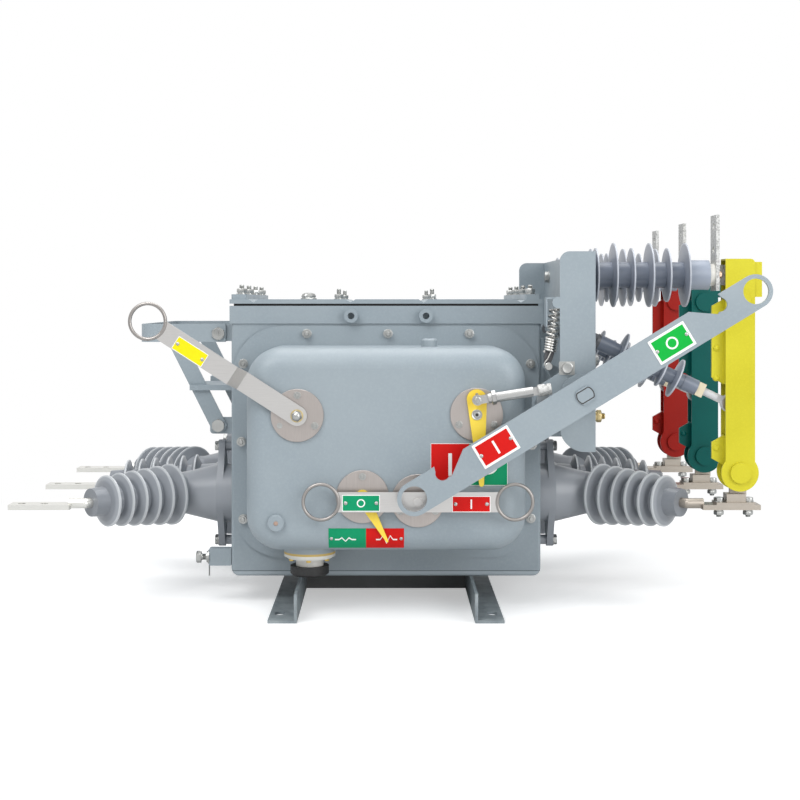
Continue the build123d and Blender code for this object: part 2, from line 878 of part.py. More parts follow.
# Upper terminals: upright drilled bars with a contact tongue that reaches into each knife.
terminal_face = post_end + post_cap_length
with BuildPart() as upper_terminals:
    for phase in phases.values():
        y = phase * phase_pitch
        with BuildSketch(side_plane(terminal_face)):
            with Locations((y, (terminal_bottom + terminal_top) / 2)):
                Rectangle(terminal_width, terminal_top - terminal_bottom)
            with Locations(*[(y, height) for height in terminal_hole_heights]):
                Circle(terminal_hole_radius, mode=Mode.SUBTRACT)
        extrude(amount=terminal_thickness)
        tongue_start = terminal_face + terminal_thickness
        with Locations(((tongue_start + upper_tongue_end) / 2, y, post_z)):
            Box(upper_tongue_end - tongue_start, tongue_thickness, upper_tongue_height)
save(upper_terminals.part, "upper_terminals")


def knife_blade(phase):
    """Twin blades on a hinge pin, with the drive pin and an upper spacer pin between them."""
    y = phase * phase_pitch
    with BuildPart() as solid:
        for row in (-1, 1):
            inner = y + row * blade_gap / 2
            with BuildSketch(front_plane(inner)):
                with Locations((knife_hinge[0], (knife_hinge[1] + blade_top) / 2)):
                    Rectangle(blade_width, blade_top - knife_hinge[1])
                with Locations(knife_hinge):
                    Circle(blade_width / 2)
                with Locations(knife_pin):
                    Circle(knife_ear_radius)
            extrude(amount=-row * blade_thickness)
        for centre, radius in (
            (knife_hinge, hinge_pin_radius - pivot_clearance),
            ((knife_hinge[0], knife_boss_upper), hinge_pin_radius),
        ):
            with BuildSketch(front_plane(y)):
                with Locations(centre):
                    Circle(radius)
            extrude(amount=cover_inside / 2, both=True)
        with BuildSketch(front_plane(y)):
            with Locations(knife_pin):
                Circle(knife_pin_radius)
        extrude(amount=blade_gap / 2 + blade_thickness, both=True)
    return solid.part


def knife_cover(phase):
    """A moulded channel over the blades, open to the left and below, with riveted tabs."""
    y = phase * phase_pitch
    outer = cover_inside / 2 + cover_wall
    with BuildPart() as solid:
        with BuildSketch(front_plane(y)):
            with Locations(((cover_left + cover_right) / 2, (knife_hinge[1] + cover_top) / 2)):
                Rectangle(cover_right - cover_left, cover_top - knife_hinge[1])
            with Locations(knife_hinge):
                Circle(cover_end_radius)
        extrude(amount=outer, both=True)
        fillet(faces().sort_by(Axis.Z)[-1].edges().sort_by(Axis.X)[-1], 8)
        with BuildSketch(front_plane(y)):
            with BuildLine():
                Polyline(
                    (cover_left - 10, knife_hinge[1] - 2 * cover_end_radius),
                    (cover_right + 20, knife_hinge[1] - 2 * cover_end_radius),
                    (cover_right + 20, cover_right_wall_end),
                    (cover_right - cover_wall, cover_right_wall_end),
                    (cover_right - cover_wall, cover_top - cover_wall),
                    (cover_left - 10, cover_top - cover_wall),
                    close=True,
                )
            make_face()
        extrude(amount=cover_inside / 2, both=True, mode=Mode.SUBTRACT)
        for low, high in (upper_tab, lower_tab):
            with BuildSketch(front_plane(y)):
                with BuildLine():
                    Polyline(
                        (cover_left, low),
                        (cover_left - tab_reach, low + tab_chamfer),
                        (cover_left - tab_reach, high - tab_chamfer),
                        (cover_left, high),
                        close=True,
                    )
                make_face()
            extrude(amount=cover_wall, both=True)
            with Locations((cover_left + cover_wall / 2, y, (low + high) / 2)):
                Box(cover_wall, cover_inside, high - low)
        with Locations((cover_right + lip_reach / 2, y, (lip_bottom + lip_top) / 2)):
            Box(lip_reach, cover_inside, lip_top - lip_bottom)
        for row in (-1, 1):
            with BuildSketch(front_plane(y + row * outer)):
                with Locations(knife_hinge, (knife_hinge[0], knife_boss_upper)):
                    Circle(knife_boss_radius)
            extrude(amount=-row * knife_boss_height)
    return solid.part


for phase_name, phase in phases.items():
    save(knife_blade(phase), f"knife_blade_{phase_name}")
    save(knife_cover(phase), f"knife_cover_{phase_name}")

# Isolator shaft: a round shaft with three drive cranks, a spring crank and a flatted front end.
lever_front = lever_back - lever_thickness
shaft_end = lever_front - 3
shaft_rear = frame_half_length + bearing_thickness + 4
lever_plane = Plane(
    (shaft_x, lever_back, shaft_z),
    x_dir=(math.cos(math.radians(lever_angle)), 0, math.sin(math.radians(lever_angle))),
    z_dir=(0, -1, 0),
)


def crank(y, thickness, boss_radius, pin_place, tip_radius):
    """A flat crank between the shaft and a pin, centred on depth y."""
    with BuildSketch(front_plane(y)) as outline:
        with Locations((shaft_x, shaft_z)):
            Circle(boss_radius)
        with Locations(pin_place):
            Circle(tip_radius)
        make_hull()
    return extrude(outline.sketch, amount=thickness / 2, both=True)


with BuildPart() as isolator_shaft:
    with BuildSketch(front_plane(shaft_rear)):
        with Locations((shaft_x, shaft_z)):
            Circle(shaft_radius)
    extrude(amount=shaft_rear - lever_back)
    with BuildSketch(lever_plane):
        Circle(shaft_radius)
        Rectangle(2 * shaft_radius, 2 * shaft_flat, mode=Mode.INTERSECT)
    extrude(amount=lever_back - shaft_end)
    for phase in phases.values():
        crank_y = phase * phase_pitch
        add(crank(crank_y, crank_thickness, crank_boss_radius, crank_pin, crank_tip_radius))
        with BuildSketch(front_plane(crank_y)):
            with Locations(crank_pin):
                Circle(crank_pin_radius)
        extrude(amount=fork_gap / 2 + fork_wall, both=True)
    add(
        crank(
            spring_crank_y,
            spring_crank_thickness,
            crank_boss_radius,
            spring_crank_pin,
            spring_crank_tip,
        )
    )
    with BuildSketch(front_plane(spring_crank_y)):
        with Locations(spring_crank_pin):
            Circle(spring_pin_radius)
    extrude(amount=spring_crank_y - spring_y + spring_wire)
save(isolator_shaft.part, "isolator_shaft")

# Operating lever: a long flat bar with a ring and a hook notch at each end.
notch_line = ((220.0, 29.0), (260.0, 0.0), (283.0, 10.0), (277.0, 29.0))
notch_centre = (271.0, 12.0)
notch_radius = 12.0
with BuildPart() as operating_lever:
    with BuildSketch(lever_plane):
        Rectangle(2 * lever_half, lever_width)
        for side in (-1, 1):
            with BuildLine():
                Polyline(*[(side * u, v) for u, v in notch_line], close=True)
            make_face(mode=Mode.SUBTRACT)
            with Locations((side * notch_centre[0], notch_centre[1])):
                Circle(notch_radius, mode=Mode.SUBTRACT)
        with Locations((-lever_half, 0), (lever_half, 0)):
            Circle(lever_width / 2)
            Circle(lever_hole_radius, mode=Mode.SUBTRACT)
        with BuildSketch(Plane.XY, mode=Mode.SUBTRACT):
            Circle(shaft_radius + pivot_clearance)
            Rectangle(
                2 * shaft_radius + 2,
                2 * (shaft_flat + pivot_clearance),
                mode=Mode.INTERSECT,
            )
    extrude(amount=lever_thickness)
save(operating_lever.part, "operating_lever")


def drive_insulator(phase):
    """A ribbed insulating rod: fork on the crank pin, collar, sheds, nut, rod and slack eye."""
    y = phase * phase_pitch
    span = math.dist(crank_pin, knife_pin)
    fall = (crank_pin[1] - knife_pin[1]) / span
    along = ((knife_pin[0] - crank_pin[0]) / span, 0, -fall)
    origin = (crank_pin[0], y, crank_pin[1])
    plane = Plane(origin, x_dir=along, z_dir=(0, -1, 0))
    centres = [
        drive_shed_last - drive_shed_pitch * (drive_shed_count - 1 - i)
        for i in range(drive_shed_count)
    ]
    rims = [
        drive_large_radius if i % 2 == 0 else drive_small_radius for i in range(drive_shed_count)
    ]
    eye_start = span - drive_eye_radius - 8
    points = [
        (drive_fork_end - 6, 0),
        (drive_fork_end - 6, drive_collar_radius),
        (drive_collar_end, drive_collar_radius),
    ]
    points += shed_profile(
        drive_collar_end, drive_end_start, centres, lambda s: drive_core_radius, rims, 4, 1.2
    )[1:-1]
    points += [
        (drive_end_start, drive_collar_radius),
        (drive_end, drive_collar_radius),
        (drive_end, drive_rod_radius),
        (eye_start, drive_rod_radius),
        (eye_start, 0),
    ]
    with BuildPart() as solid:
        add(turned(origin, along, points))
        with BuildSketch(plane):
            with Locations(((drive_fork_end - 4) / 2, 0)):
                Rectangle(drive_fork_end - 4, 2 * drive_core_radius - 2)
            Circle(drive_core_radius - 1)
            Circle(crank_pin_radius + pivot_clearance, mode=Mode.SUBTRACT)
        extrude(amount=fork_gap / 2 + fork_wall, both=True)
        with BuildSketch(plane):
            with Locations(((drive_fork_end - 6 - 20) / 2, 0)):
                Rectangle(drive_fork_end - 6 + 20, 3 * drive_core_radius)
        extrude(amount=fork_gap / 2, both=True, mode=Mode.SUBTRACT)
        with BuildSketch(plane):
            with Locations((drive_end + (drive_nut_end - drive_end) / 2, 0)):
                Rectangle(drive_nut_end - drive_end, 2 * drive_nut_radius)
        extrude(amount=drive_nut_radius * math.cos(math.pi / 6), both=True)
        with BuildSketch(plane):
            with Locations((span, 0)):
                Circle(drive_eye_radius)
            with Locations(((eye_start - 4 + span) / 2, 0)):
                Rectangle(span - eye_start + 4, 2 * drive_rod_radius)
            with Locations((span, 0)):
                Circle(knife_pin_radius + open_pivot_slack, mode=Mode.SUBTRACT)
        extrude(amount=tongue_thickness / 2, both=True)
    return solid.part


for phase_name, phase in phases.items():
    save(drive_insulator(phase), f"drive_insulator_{phase_name}")

# Toggle spring: a closely wound coil between two eyes, drawn as its envelope.
spring_length = math.dist(spring_anchor, spring_crank_pin)
spring_fall = (spring_anchor[1] - spring_crank_pin[1]) / spring_length
spring_along = ((spring_crank_pin[0] - spring_anchor[0]) / spring_length, 0, -spring_fall)
spring_origin = (spring_anchor[0], spring_y, spring_anchor[1])
spring_plane = Plane(spring_origin, x_dir=spring_along, z_dir=(0, -1, 0))
spring_eye = spring_pin_radius + 0.3 + spring_wire / 2
coil_start = spring_eye + spring_wire
coil_end = spring_length - coil_start
with BuildPart() as toggle_spring:
    add(
        turned(
            spring_origin,
            spring_along,
            [
                (coil_start - spring_wire / 2, spring_radius - spring_wire),
                (coil_start - spring_wire / 2, spring_radius),
                (coil_end + spring_wire / 2, spring_radius),
                (coil_end + spring_wire / 2, spring_radius - spring_wire),
            ],
        )
    )
    for place, inward in ((0, 1), (spring_length, -1)):
        with BuildSketch(spring_plane):
            with Locations((place, 0)):
                Circle(spring_eye + spring_wire / 2)
                Circle(spring_eye - spring_wire / 2, mode=Mode.SUBTRACT)
        extrude(amount=spring_wire / 2, both=True)
        with BuildSketch(spring_plane):
            with Locations((place + inward * (coil_start + spring_wire / 4), 0)):
                Rectangle(1.5 * spring_wire, 2 * spring_radius - spring_wire)
        extrude(amount=spring_wire / 2, both=True)
save(toggle_spring.part, "toggle_spring")


def ring(place, y):
    """A wire ring that faces the viewer."""
    middle = ring_radius - ring_wire / 2
    plane = Plane((place[0] + middle, y, place[1]), x_dir=(1, 0, 0), z_dir=(0, 0, 1))
    with BuildPart() as solid:
        with BuildSketch(plane):
            Circle(ring_wire / 2)
        revolve(axis=Axis((place[0], y, place[1]), (0, 1, 0)))
    return solid.part


# Charging handle: a joggled flat bar on the charging shaft, with a pull ring.
charging_turn = math.radians(charging_angle)
charging_along = (math.cos(charging_turn), 0, math.sin(charging_turn))
handle_back = dial_face - pointer_gap
handle_front = handle_back - charging_thickness
outer_back = handle_back - joggle_step
outer_front = outer_back - charging_thickness
ring_inner = charging_reach - ring_radius + ring_wire
with BuildPart() as charging_handle:
    strip_plane = Plane(
        (charging_dial[0], 0, charging_dial[1]), x_dir=charging_along, z_dir=(0, 1, 0)
    )
    across = strip_plane.y_dir
    with BuildSketch(Plane(strip_plane.origin, x_dir=charging_along, z_dir=-across)):
        with BuildLine():
            Polyline(
                (0, handle_back),
                (charging_joggle, handle_back),
                (charging_joggle + joggle_run, outer_back),
                (ring_inner - 1, outer_back),
                (ring_inner - 1, outer_front),
                (charging_joggle + joggle_run - 2, outer_front),
                (charging_joggle - 2, handle_front),
                (0, handle_front),
                close=True,
            )
        make_face()
    extrude(amount=charging_width / 2, both=True)
    with BuildSketch(front_plane(handle_back)):
        with Locations(charging_dial):
            Circle(charging_width / 2)
    extrude(amount=charging_thickness)
    with BuildSketch(front_plane(dial_face - hub_gap)):
        with Locations(charging_dial):
            Circle(hub_radius)
    extrude(amount=pointer_gap)
    ring_place = (
        charging_dial[0] + charging_reach * charging_along[0],
        charging_dial[1] + charging_reach * charging_along[2],
    )
    add(ring(ring_place, (outer_back + outer_front) / 2))
save(charging_handle.part, "charging_handle")

# Trip handle: a double-ended flat bar with a pull ring at each end.
with BuildPart() as trip_handle:
    with BuildSketch(front_plane(trip_face)):
        with Locations(trip_dial):
            Rectangle(2 * (trip_half - ring_radius + ring_wire - 1), trip_width)
    extrude(amount=trip_thickness)
    with BuildSketch(front_plane(dial_face - hub_gap)):
        with Locations(trip_dial):
            Circle(hub_radius)
    extrude(amount=dial_face - hub_gap - trip_face)
    for row in (-1, 1):
        add(ring((trip_dial[0] + row * trip_half, trip_dial[1]), trip_face - trip_thickness / 2))
save(trip_handle.part, "trip_handle")

# Position pointer: a round-headed arrow with the pin of the interlock rod above its shaft.
pointer_back = dial_face - pointer_gap
pointer_pin = (position_dial[0], position_dial[1] + pointer_arm)
with BuildPart() as position_pointer:
    with BuildSketch(front_plane(pointer_back)):
        with Locations(pointer_pin):
            Circle(pointer_head_radius)
        with Locations(pointer_tip):
            Circle(pointer_tail_radius)
        make_hull()
    extrude(amount=pointer_thickness)
    with BuildSketch(front_plane(dial_face - hub_gap)):
        with Locations(position_dial):
            Circle(hub_radius)
    extrude(amount=pointer_gap)
    with BuildSketch(front_plane(pointer_back - pointer_thickness)):
        with Locations(pointer_pin):
            Circle(interlock_pin_radius)
    extrude(amount=pointer_back - pointer_thickness - interlock_y + interlock_eye_thickness / 2 + 1)
save(position_pointer.part, "position_pointer")

# Charge pointer: a thin arrow on the charge shaft.
with BuildPart() as charge_pointer:
    with BuildSketch(front_plane(dial_face - hub_gap)):
        with Locations(charge_dial):
            Circle(charge_hub_radius)
        with Locations(charge_tip):
            Circle(2)
        make_hull()
    extrude(amount=charge_pointer_thickness)
save(charge_pointer.part, "charge_pointer")

# Interlock rod and crank: they carry the pointer's motion to the isolator frame.
interlock_pin = (interlock_pivot[0], interlock_pivot[1] + pointer_arm)
rod_span = math.dist(pointer_pin, interlock_pin)
rod_along = (
    (interlock_pin[0] - pointer_pin[0]) / rod_span,
    0,
    (interlock_pin[1] - pointer_pin[1]) / rod_span,
)
rod_origin = (pointer_pin[0], interlock_y, pointer_pin[1])
rod_plane = Plane(rod_origin, x_dir=rod_along, z_dir=(0, -1, 0))
rod_inset = 18.0
with BuildPart() as interlock_rod:
    add(
        turned(
            rod_origin,
            rod_along,
            [
                (rod_inset, 0),
                (rod_inset, interlock_rod_radius),
                (rod_span - rod_inset, interlock_rod_radius),
                (rod_span - rod_inset, 0),
            ],
        )
    )
    with BuildSketch(rod_plane):
        with Locations((rod_span / 2, 0)):
            Rectangle(rod_span, 2 * interlock_eye_radius - 4)
        with Locations((0, 0), (rod_span, 0)):
            Circle(interlock_eye_radius)
            Circle(interlock_pin_radius + pivot_clearance, mode=Mode.SUBTRACT)
    extrude(amount=interlock_eye_thickness / 2, both=True)
save(interlock_rod.part, "interlock_rod")

with BuildPart() as interlock_crank:
    with BuildSketch(front_plane(interlock_plate_face + interlock_plate_thickness)):
        with Locations(interlock_pivot):
            Circle(interlock_pivot_radius + 5)
        with Locations(interlock_pin):
            Circle(interlock_eye_radius)
        make_hull()
    extrude(amount=interlock_plate_thickness)
    with BuildSketch(front_plane(plate_face - hub_gap)):
        with Locations(interlock_pivot):
            Circle(interlock_pivot_radius + 4)
    extrude(amount=plate_face - hub_gap - interlock_plate_face)
    with BuildSketch(front_plane(plate_face)):
        with Locations(interlock_pivot):
            Circle(interlock_pivot_radius + pivot_clearance)
    extrude(amount=plate_face - interlock_plate_face + 5, mode=Mode.SUBTRACT)
    with BuildSketch(front_plane(interlock_plate_face)):
        with Locations(interlock_pin):
            Circle(interlock_pin_radius)
    extrude(amount=interlock_plate_face - interlock_y + interlock_eye_thickness / 2 + 1)
save(interlock_crank.part, "interlock_crank")
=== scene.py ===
import math

import bpy
import numpy as np
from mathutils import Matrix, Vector


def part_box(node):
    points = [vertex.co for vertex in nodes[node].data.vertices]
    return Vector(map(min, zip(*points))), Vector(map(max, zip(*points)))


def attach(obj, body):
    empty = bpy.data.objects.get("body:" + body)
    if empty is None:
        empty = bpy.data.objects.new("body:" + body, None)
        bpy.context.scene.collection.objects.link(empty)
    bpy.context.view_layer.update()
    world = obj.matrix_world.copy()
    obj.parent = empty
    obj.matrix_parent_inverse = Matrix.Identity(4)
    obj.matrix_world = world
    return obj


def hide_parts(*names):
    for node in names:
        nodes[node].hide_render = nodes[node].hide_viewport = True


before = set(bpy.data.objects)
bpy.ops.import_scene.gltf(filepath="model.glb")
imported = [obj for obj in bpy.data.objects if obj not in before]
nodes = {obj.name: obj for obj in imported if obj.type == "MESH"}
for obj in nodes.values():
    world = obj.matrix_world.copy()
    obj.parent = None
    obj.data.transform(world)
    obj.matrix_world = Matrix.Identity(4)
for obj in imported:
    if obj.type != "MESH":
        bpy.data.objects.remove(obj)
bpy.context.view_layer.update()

# Camera and paper, for the whole picture.
# The camera is level with the lid's bolts, well in front of the mechanism cover. Camera rays
# see white paper, and the floor only darkens it where the object's shadow falls.
CAMERA_PLACE = (0.0, -2.865, 0.546)
FOCAL_LENGTH_PIXELS = 1450.0
PICTURE_PIXELS = 800.0
CENTRE_PIXELS = (386.0, 302.0)
SENSOR = 36.0
SKY, SKY_STRENGTH = (0.93, 0.97, 1.0, 1), 0.52
CHALK, CHALK_GLOW = (0.78, 0.78, 0.78, 1), 0.42
SHADOW_FADES, SHADOW_ENDS = 0.65, 1.5
FLOOR_CORNERS = [(-6, -6, 0), (6, -6, 0), (6, 6, 0), (-6, 6, 0)]

scene = bpy.context.scene
scene.view_settings.view_transform = "Standard"
camera_data = bpy.data.cameras.new("camera")
camera_data.sensor_width = SENSOR
camera_data.lens = FOCAL_LENGTH_PIXELS / PICTURE_PIXELS * SENSOR
camera_data.shift_x = 0.5 - CENTRE_PIXELS[0] / PICTURE_PIXELS
camera_data.shift_y = CENTRE_PIXELS[1] / PICTURE_PIXELS - 0.5
camera = bpy.data.objects.new("camera", camera_data)
camera.location = CAMERA_PLACE
camera.rotation_euler = (math.pi / 2, 0, 0)
scene.collection.objects.link(camera)
scene.camera = camera


def add_node(tree, kind, inputs=None, **settings):
    """Adds a shader node of a kind. Each input takes a plain value, or the output socket of
    another node, which is then linked to it."""
    made = tree.nodes.new(f"ShaderNode{kind}")
    for word, setting in settings.items():
        setattr(made, word, setting)
    for key, value in (inputs or {}).items():
        if isinstance(value, bpy.types.NodeSocket):
            tree.links.new(value, made.inputs[key])
        else:
            made.inputs[key].default_value = value
    return made


world = bpy.data.worlds.new("studio")
scene.world = world
world.use_nodes = True
world_tree = world.node_tree
world_tree.nodes.clear()
rays = add_node(world_tree, "LightPath").outputs
seen = rays["Is Camera Ray"]
for ray in ("Is Glossy Ray", "Is Transmission Ray"):
    either = add_node(world_tree, "Math", {0: seen, 1: rays[ray]}, operation="MAXIMUM")
    seen = either.outputs[0]
sky = add_node(world_tree, "Background", {"Color": SKY, "Strength": SKY_STRENGTH})
paper = add_node(world_tree, "Background", {"Color": (1, 1, 1, 1), "Strength": 1.0})
studio = add_node(world_tree, "MixShader", {0: seen, 1: sky.outputs[0], 2: paper.outputs[0]})
add_node(world_tree, "OutputWorld", {"Surface": studio.outputs[0]})

floor_mesh = bpy.data.meshes.new("floor")
floor_mesh.from_pydata(FLOOR_CORNERS, [], [(0, 1, 2, 3)])
floor = bpy.data.objects.new("floor", floor_mesh)
scene.collection.objects.link(floor)
floor_paint = bpy.data.materials.new("paper_floor")
floor_paint.use_nodes = True
floor_tree = floor_paint.node_tree
floor_tree.nodes.clear()
chalk = add_node(floor_tree, "BsdfDiffuse", {"Color": CHALK}).outputs[0]
glow = add_node(floor_tree, "Emission", {"Strength": CHALK_GLOW}).outputs[0]
shaded = add_node(floor_tree, "AddShader", {0: chalk, 1: glow}).outputs[0]
white = add_node(floor_tree, "Emission", {"Strength": 1.0}).outputs[0]
floor_place = add_node(floor_tree, "TexCoord").outputs["Object"]
reach = add_node(floor_tree, "VectorMath", {0: floor_place}, operation="LENGTH")
fade = add_node(
    floor_tree, "MapRange",
    {"Value": reach.outputs["Value"], "From Min": SHADOW_FADES, "From Max": SHADOW_ENDS},
    interpolation_type="SMOOTHSTEP",
)
page = add_node(floor_tree, "MixShader", {0: fade.outputs[0], 1: shaded, 2: white}).outputs[0]
camera_ray = add_node(floor_tree, "LightPath").outputs["Is Camera Ray"]
shown = add_node(floor_tree, "MixShader", {0: camera_ray, 1: chalk, 2: page}).outputs[0]
add_node(floor_tree, "OutputMaterial", {"Surface": shown})
floor_mesh.materials.append(floor_paint)

# Body paint: one pale blue-grey enamel on the cover, the hanger, the frame and the lever,
# sprayed over the welds after they were ground. The feet are blotched and the cross bars dull.
BODY_NODES = [
    "lid_clamps", "lifting_bosses", "mechanism_cover", "cover_plugs",
    "earth_terminal", "hanger_hoop", "hanger_lugs", "hanger_braces", "hanger_shelves",
    "isolator_frame", "frame_arms", "shaft_bearings", "isolator_shaft", "operating_lever",
]
NOISE_ROUGHNESS = 0.55


def paint_nodes(names, material):
    """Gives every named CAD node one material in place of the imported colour."""
    for name in names:
        mesh = nodes[name].data
        mesh.materials.clear()
        mesh.materials.append(material)


def wire(tree, source, target):
    """Links one node's output socket to another node's input socket."""
    tree.links.new(source, target)


def tone(red, green, blue):
    """A screen colour, 0 to 255, as the shader's linear values."""
    values = np.array([red, green, blue]) / 255
    linear = np.where(values > 0.04045, ((values + 0.055) / 1.055) ** 2.4, values / 12.92)
    return tuple(float(v) for v in linear)


def finish_material(name, roughness, metallic=0.0):
    """A new node material: returns it, its tree, its shader and its Object coordinates."""
    material = bpy.data.materials.new(name)
    material.use_nodes = True
    tree = material.node_tree
    shader = tree.nodes["Principled BSDF"]
    shader.inputs["Roughness"].default_value = roughness
    shader.inputs["Metallic"].default_value = metallic
    return material, tree, shader, add_node(tree, "TexCoord").outputs["Object"]


def cloud(tree, vector, scale, detail=3.0):
    """A noise value between 0 and 1 at a scale given in repeats per metre."""
    grain = {"Scale": scale, "Detail": detail, "Roughness": NOISE_ROUGHNESS}
    return add_node(tree, "TexNoise", {"Vector": vector, **grain}).outputs["Fac"]


def steps(tree, value, low, high, low_value=0.0, high_value=1.0):
    """Maps value from low..high to low_value..high_value, clamped at both ends."""
    span = {"From Min": low, "From Max": high, "To Min": low_value, "To Max": high_value}
    return add_node(tree, "MapRange", {"Value": value, **span}).outputs[0]


def blend(tree, factor, first, second):
    """Mixes two colours, each a colour value or a socket, by a factor socket."""
    first, second = ((*end, 1) if isinstance(end, tuple) else end for end in (first, second))
    mix = add_node(tree, "Mix", {0: factor, 6: first, 7: second}, data_type="RGBA")
    return mix.outputs[2]


def relief(tree, height, shader, strength, distance):
    """Feeds a height socket to the shader as a bump of that distance in metres."""
    bump = add_node(tree, "Bump", {"Height": height, "Strength": strength, "Distance": distance})
    wire(tree, bump.outputs[0], shader.inputs["Normal"])


def enamel(name, colour, shade, roughness, grain=900.0, depth=0.00006, patch=6.0):
    """Sprayed paint: two close shades in slow patches, orange peel as bump, varied gloss."""
    material, tree, shader, place = finish_material(name, roughness)
    mottle = steps(tree, cloud(tree, place, patch), 0.35, 0.65)
    dust = steps(tree, cloud(tree, place, patch * 40), 0.45, 0.75, 0.0, 0.35)
    base = blend(tree, mottle, colour, shade)
    base = blend(tree, dust, base, tuple(min(1.0, c * 1.12) for c in colour))
    wire(tree, base, shader.inputs["Base Color"])
    gloss = steps(tree, cloud(tree, place, patch * 5), 0.3, 0.7, roughness - 0.05, roughness + 0.07)
    wire(tree, gloss, shader.inputs["Roughness"])
    relief(tree, cloud(tree, place, grain), shader, 0.35, depth)
    return material


BODY_GREY, BODY_SHADE = tone(147, 157, 163), tone(140, 151, 158)
body_paint = enamel("body_paint", BODY_GREY, BODY_SHADE, 0.42)
paint_nodes(BODY_NODES, body_paint)
foot_paint = enamel("foot_paint", tone(150, 158, 161), tone(118, 127, 132), 0.42, patch=34.0)
paint_nodes(["foot_rail_left", "foot_rail_right"], foot_paint)
bar_paint = enamel("bar_paint", tone(124, 124, 124), tone(114, 114, 114), 0.5, patch=11.0)
paint_nodes(["cross_bars"], bar_paint)

# Tank: a welded steel box in the body enamel. Low down a paler band is painted along the rolled
# edge of its bottom plate as its highlight, and the dark seam shows where that plate is welded in.
BOTTOM_HIGHLIGHT_LOW, BOTTOM_HIGHLIGHT_TOP = 0.0480, 0.0598
SEAM_LOW, SEAM_HIGH = 0.0588, 0.0602


def height_in(tree):
    """The height above the ground, which is the Z of the Object coordinates."""
    place = add_node(tree, "TexCoord").outputs["Object"]
    return add_node(tree, "SeparateXYZ", {0: place}).outputs["Z"]


def between(tree, value, low, high):
    """1 where a value lies from low to high, and 0 elsewhere."""
    middle, half = (low + high) / 2, (high - low) / 2
    return add_node(tree, "Math", {0: value, 1: middle, 2: half}, operation="COMPARE").outputs[0]


def overpaint(material, inside, colour):
    """Lays a colour over a material's own where the socket inside is 1."""
    base = material.node_tree.nodes["Principled BSDF"].inputs["Base Color"]
    mixed = blend(material.node_tree, inside, base.links[0].from_socket, colour)
    wire(material.node_tree, mixed, base)


tank_paint = enamel("tank_paint", BODY_GREY, BODY_SHADE, 0.42)
tank_tree = tank_paint.node_tree
tank_height = height_in(tank_tree)
# Painted highlight: a paler band along the rolled edge of the bottom plate.
overpaint(tank_paint, between(tank_tree, tank_height, BOTTOM_HIGHLIGHT_LOW, BOTTOM_HIGHLIGHT_TOP), tone(160, 170, 176))
overpaint(tank_paint, between(tank_tree, tank_height, SEAM_LOW, SEAM_HIGH), tone(84, 92, 98))
paint_nodes(["tank_body"], tank_paint)

# Lid: a pressed steel plate in a flatter coat of the same grey, with the black rubber gasket
# that shows under it all round.
GASKET_TOP, GASKET_BLUR = 0.5430, 0.0002
GASKET_BLACK = (0.006, 0.006, 0.006)


def above(tree, height, level, blur):
    """0 below a level and 1 above it, with a change as wide as twice the blur."""
    return steps(tree, height, level - blur, level + blur)


lid_paint, lid_tree, lid_shader, lid_place = finish_material("lid_paint", 0.5)
lid_mottle = steps(lid_tree, cloud(lid_tree, lid_place, 6.0), 0.35, 0.65)
lid_grey = blend(lid_tree, lid_mottle, BODY_GREY, BODY_SHADE)
lid_plate = above(lid_tree, height_in(lid_tree), GASKET_TOP, GASKET_BLUR)
lid_colour = blend(lid_tree, lid_plate, GASKET_BLACK, lid_grey)
wire(lid_tree, lid_colour, lid_shader.inputs["Base Color"])
relief(lid_tree, cloud(lid_tree, lid_place, 900.0), lid_shader, 0.35, 0.00006)
paint_nodes(["tank_lid"], lid_paint)

# Charging handle, trip handle and dials: stainless strip and turned discs, brushed along their
# length and a little stained. The pull rings are bent from duller wire and welded on.
RING_RADIUS, RING_SHADE = 0.0335, tone(154, 150, 147)
RING_CENTRES = ((-0.4009, 0.5135), (-0.110, 0.208), (0.218, 0.208))


def stretched(tree, place, scale):
    """Object coordinates multiplied by one scale for each axis."""
    return add_node(tree, "Mapping", {"Vector": place, "Scale": scale}).outputs[0]


def brushed(name, colour, along, roughness, metallic=1.0, scale=900.0):
    """Drawn or brushed metal: fine noise stretched along one axis shades it and roughens it."""
    material, tree, shader, place = finish_material(name, roughness, metallic)
    squeeze = tuple(0.03 if i == along else 1.0 for i in range(3))
    lines = cloud(tree, stretched(tree, place, squeeze), scale, 2.0)
    stain = steps(tree, cloud(tree, place, 22.0), 0.4, 0.7)
    base = blend(tree, steps(tree, lines, 0.3, 0.7), tuple(c * 0.9 for c in colour), colour)
    base = blend(tree, stain, base, tuple(c * 0.93 for c in colour))
    wire(tree, base, shader.inputs["Base Color"])
    gloss = steps(tree, lines, 0.3, 0.7, roughness + 0.06, roughness - 0.04)
    wire(tree, gloss, shader.inputs["Roughness"])
    relief(tree, lines, shader, 0.2, 0.00001)
    return material


handle_steel = brushed("handle_steel", tone(204, 202, 200), 0, 0.33)
handle_tree = handle_steel.node_tree
handle_place = add_node(handle_tree, "TexCoord").outputs["Object"]
handle_view = stretched(handle_tree, handle_place, (1.0, 0.0, 1.0))
for x, z in RING_CENTRES:
    away = add_node(
        handle_tree, "VectorMath", {0: handle_view, 1: (x, 0.0, z)}, operation="DISTANCE"
    )
    inside = between(handle_tree, away.outputs["Value"], 0.0, RING_RADIUS)
    overpaint(handle_steel, inside, RING_SHADE)
paint_nodes(["charging_handle", "trip_handle"], handle_steel)
dial_steel = brushed("dial_steel", tone(178, 171, 167), 2, 0.40)
paint_nodes(["dial_discs"], dial_steel)

# Interlock: a stainless rod with an eye at each end, and the zinc-plated crank at its right
# end. The rod's fine lines run from front to back, and those of the crank run upright.
rod_steel = brushed("rod_steel", tone(184, 184, 183), 1, 0.30)
paint_nodes(["interlock_rod"], rod_steel)
crank_zinc = brushed("crank_zinc", tone(182, 188, 192), 2, 0.42)
paint_nodes(["interlock_crank"], crank_zinc)

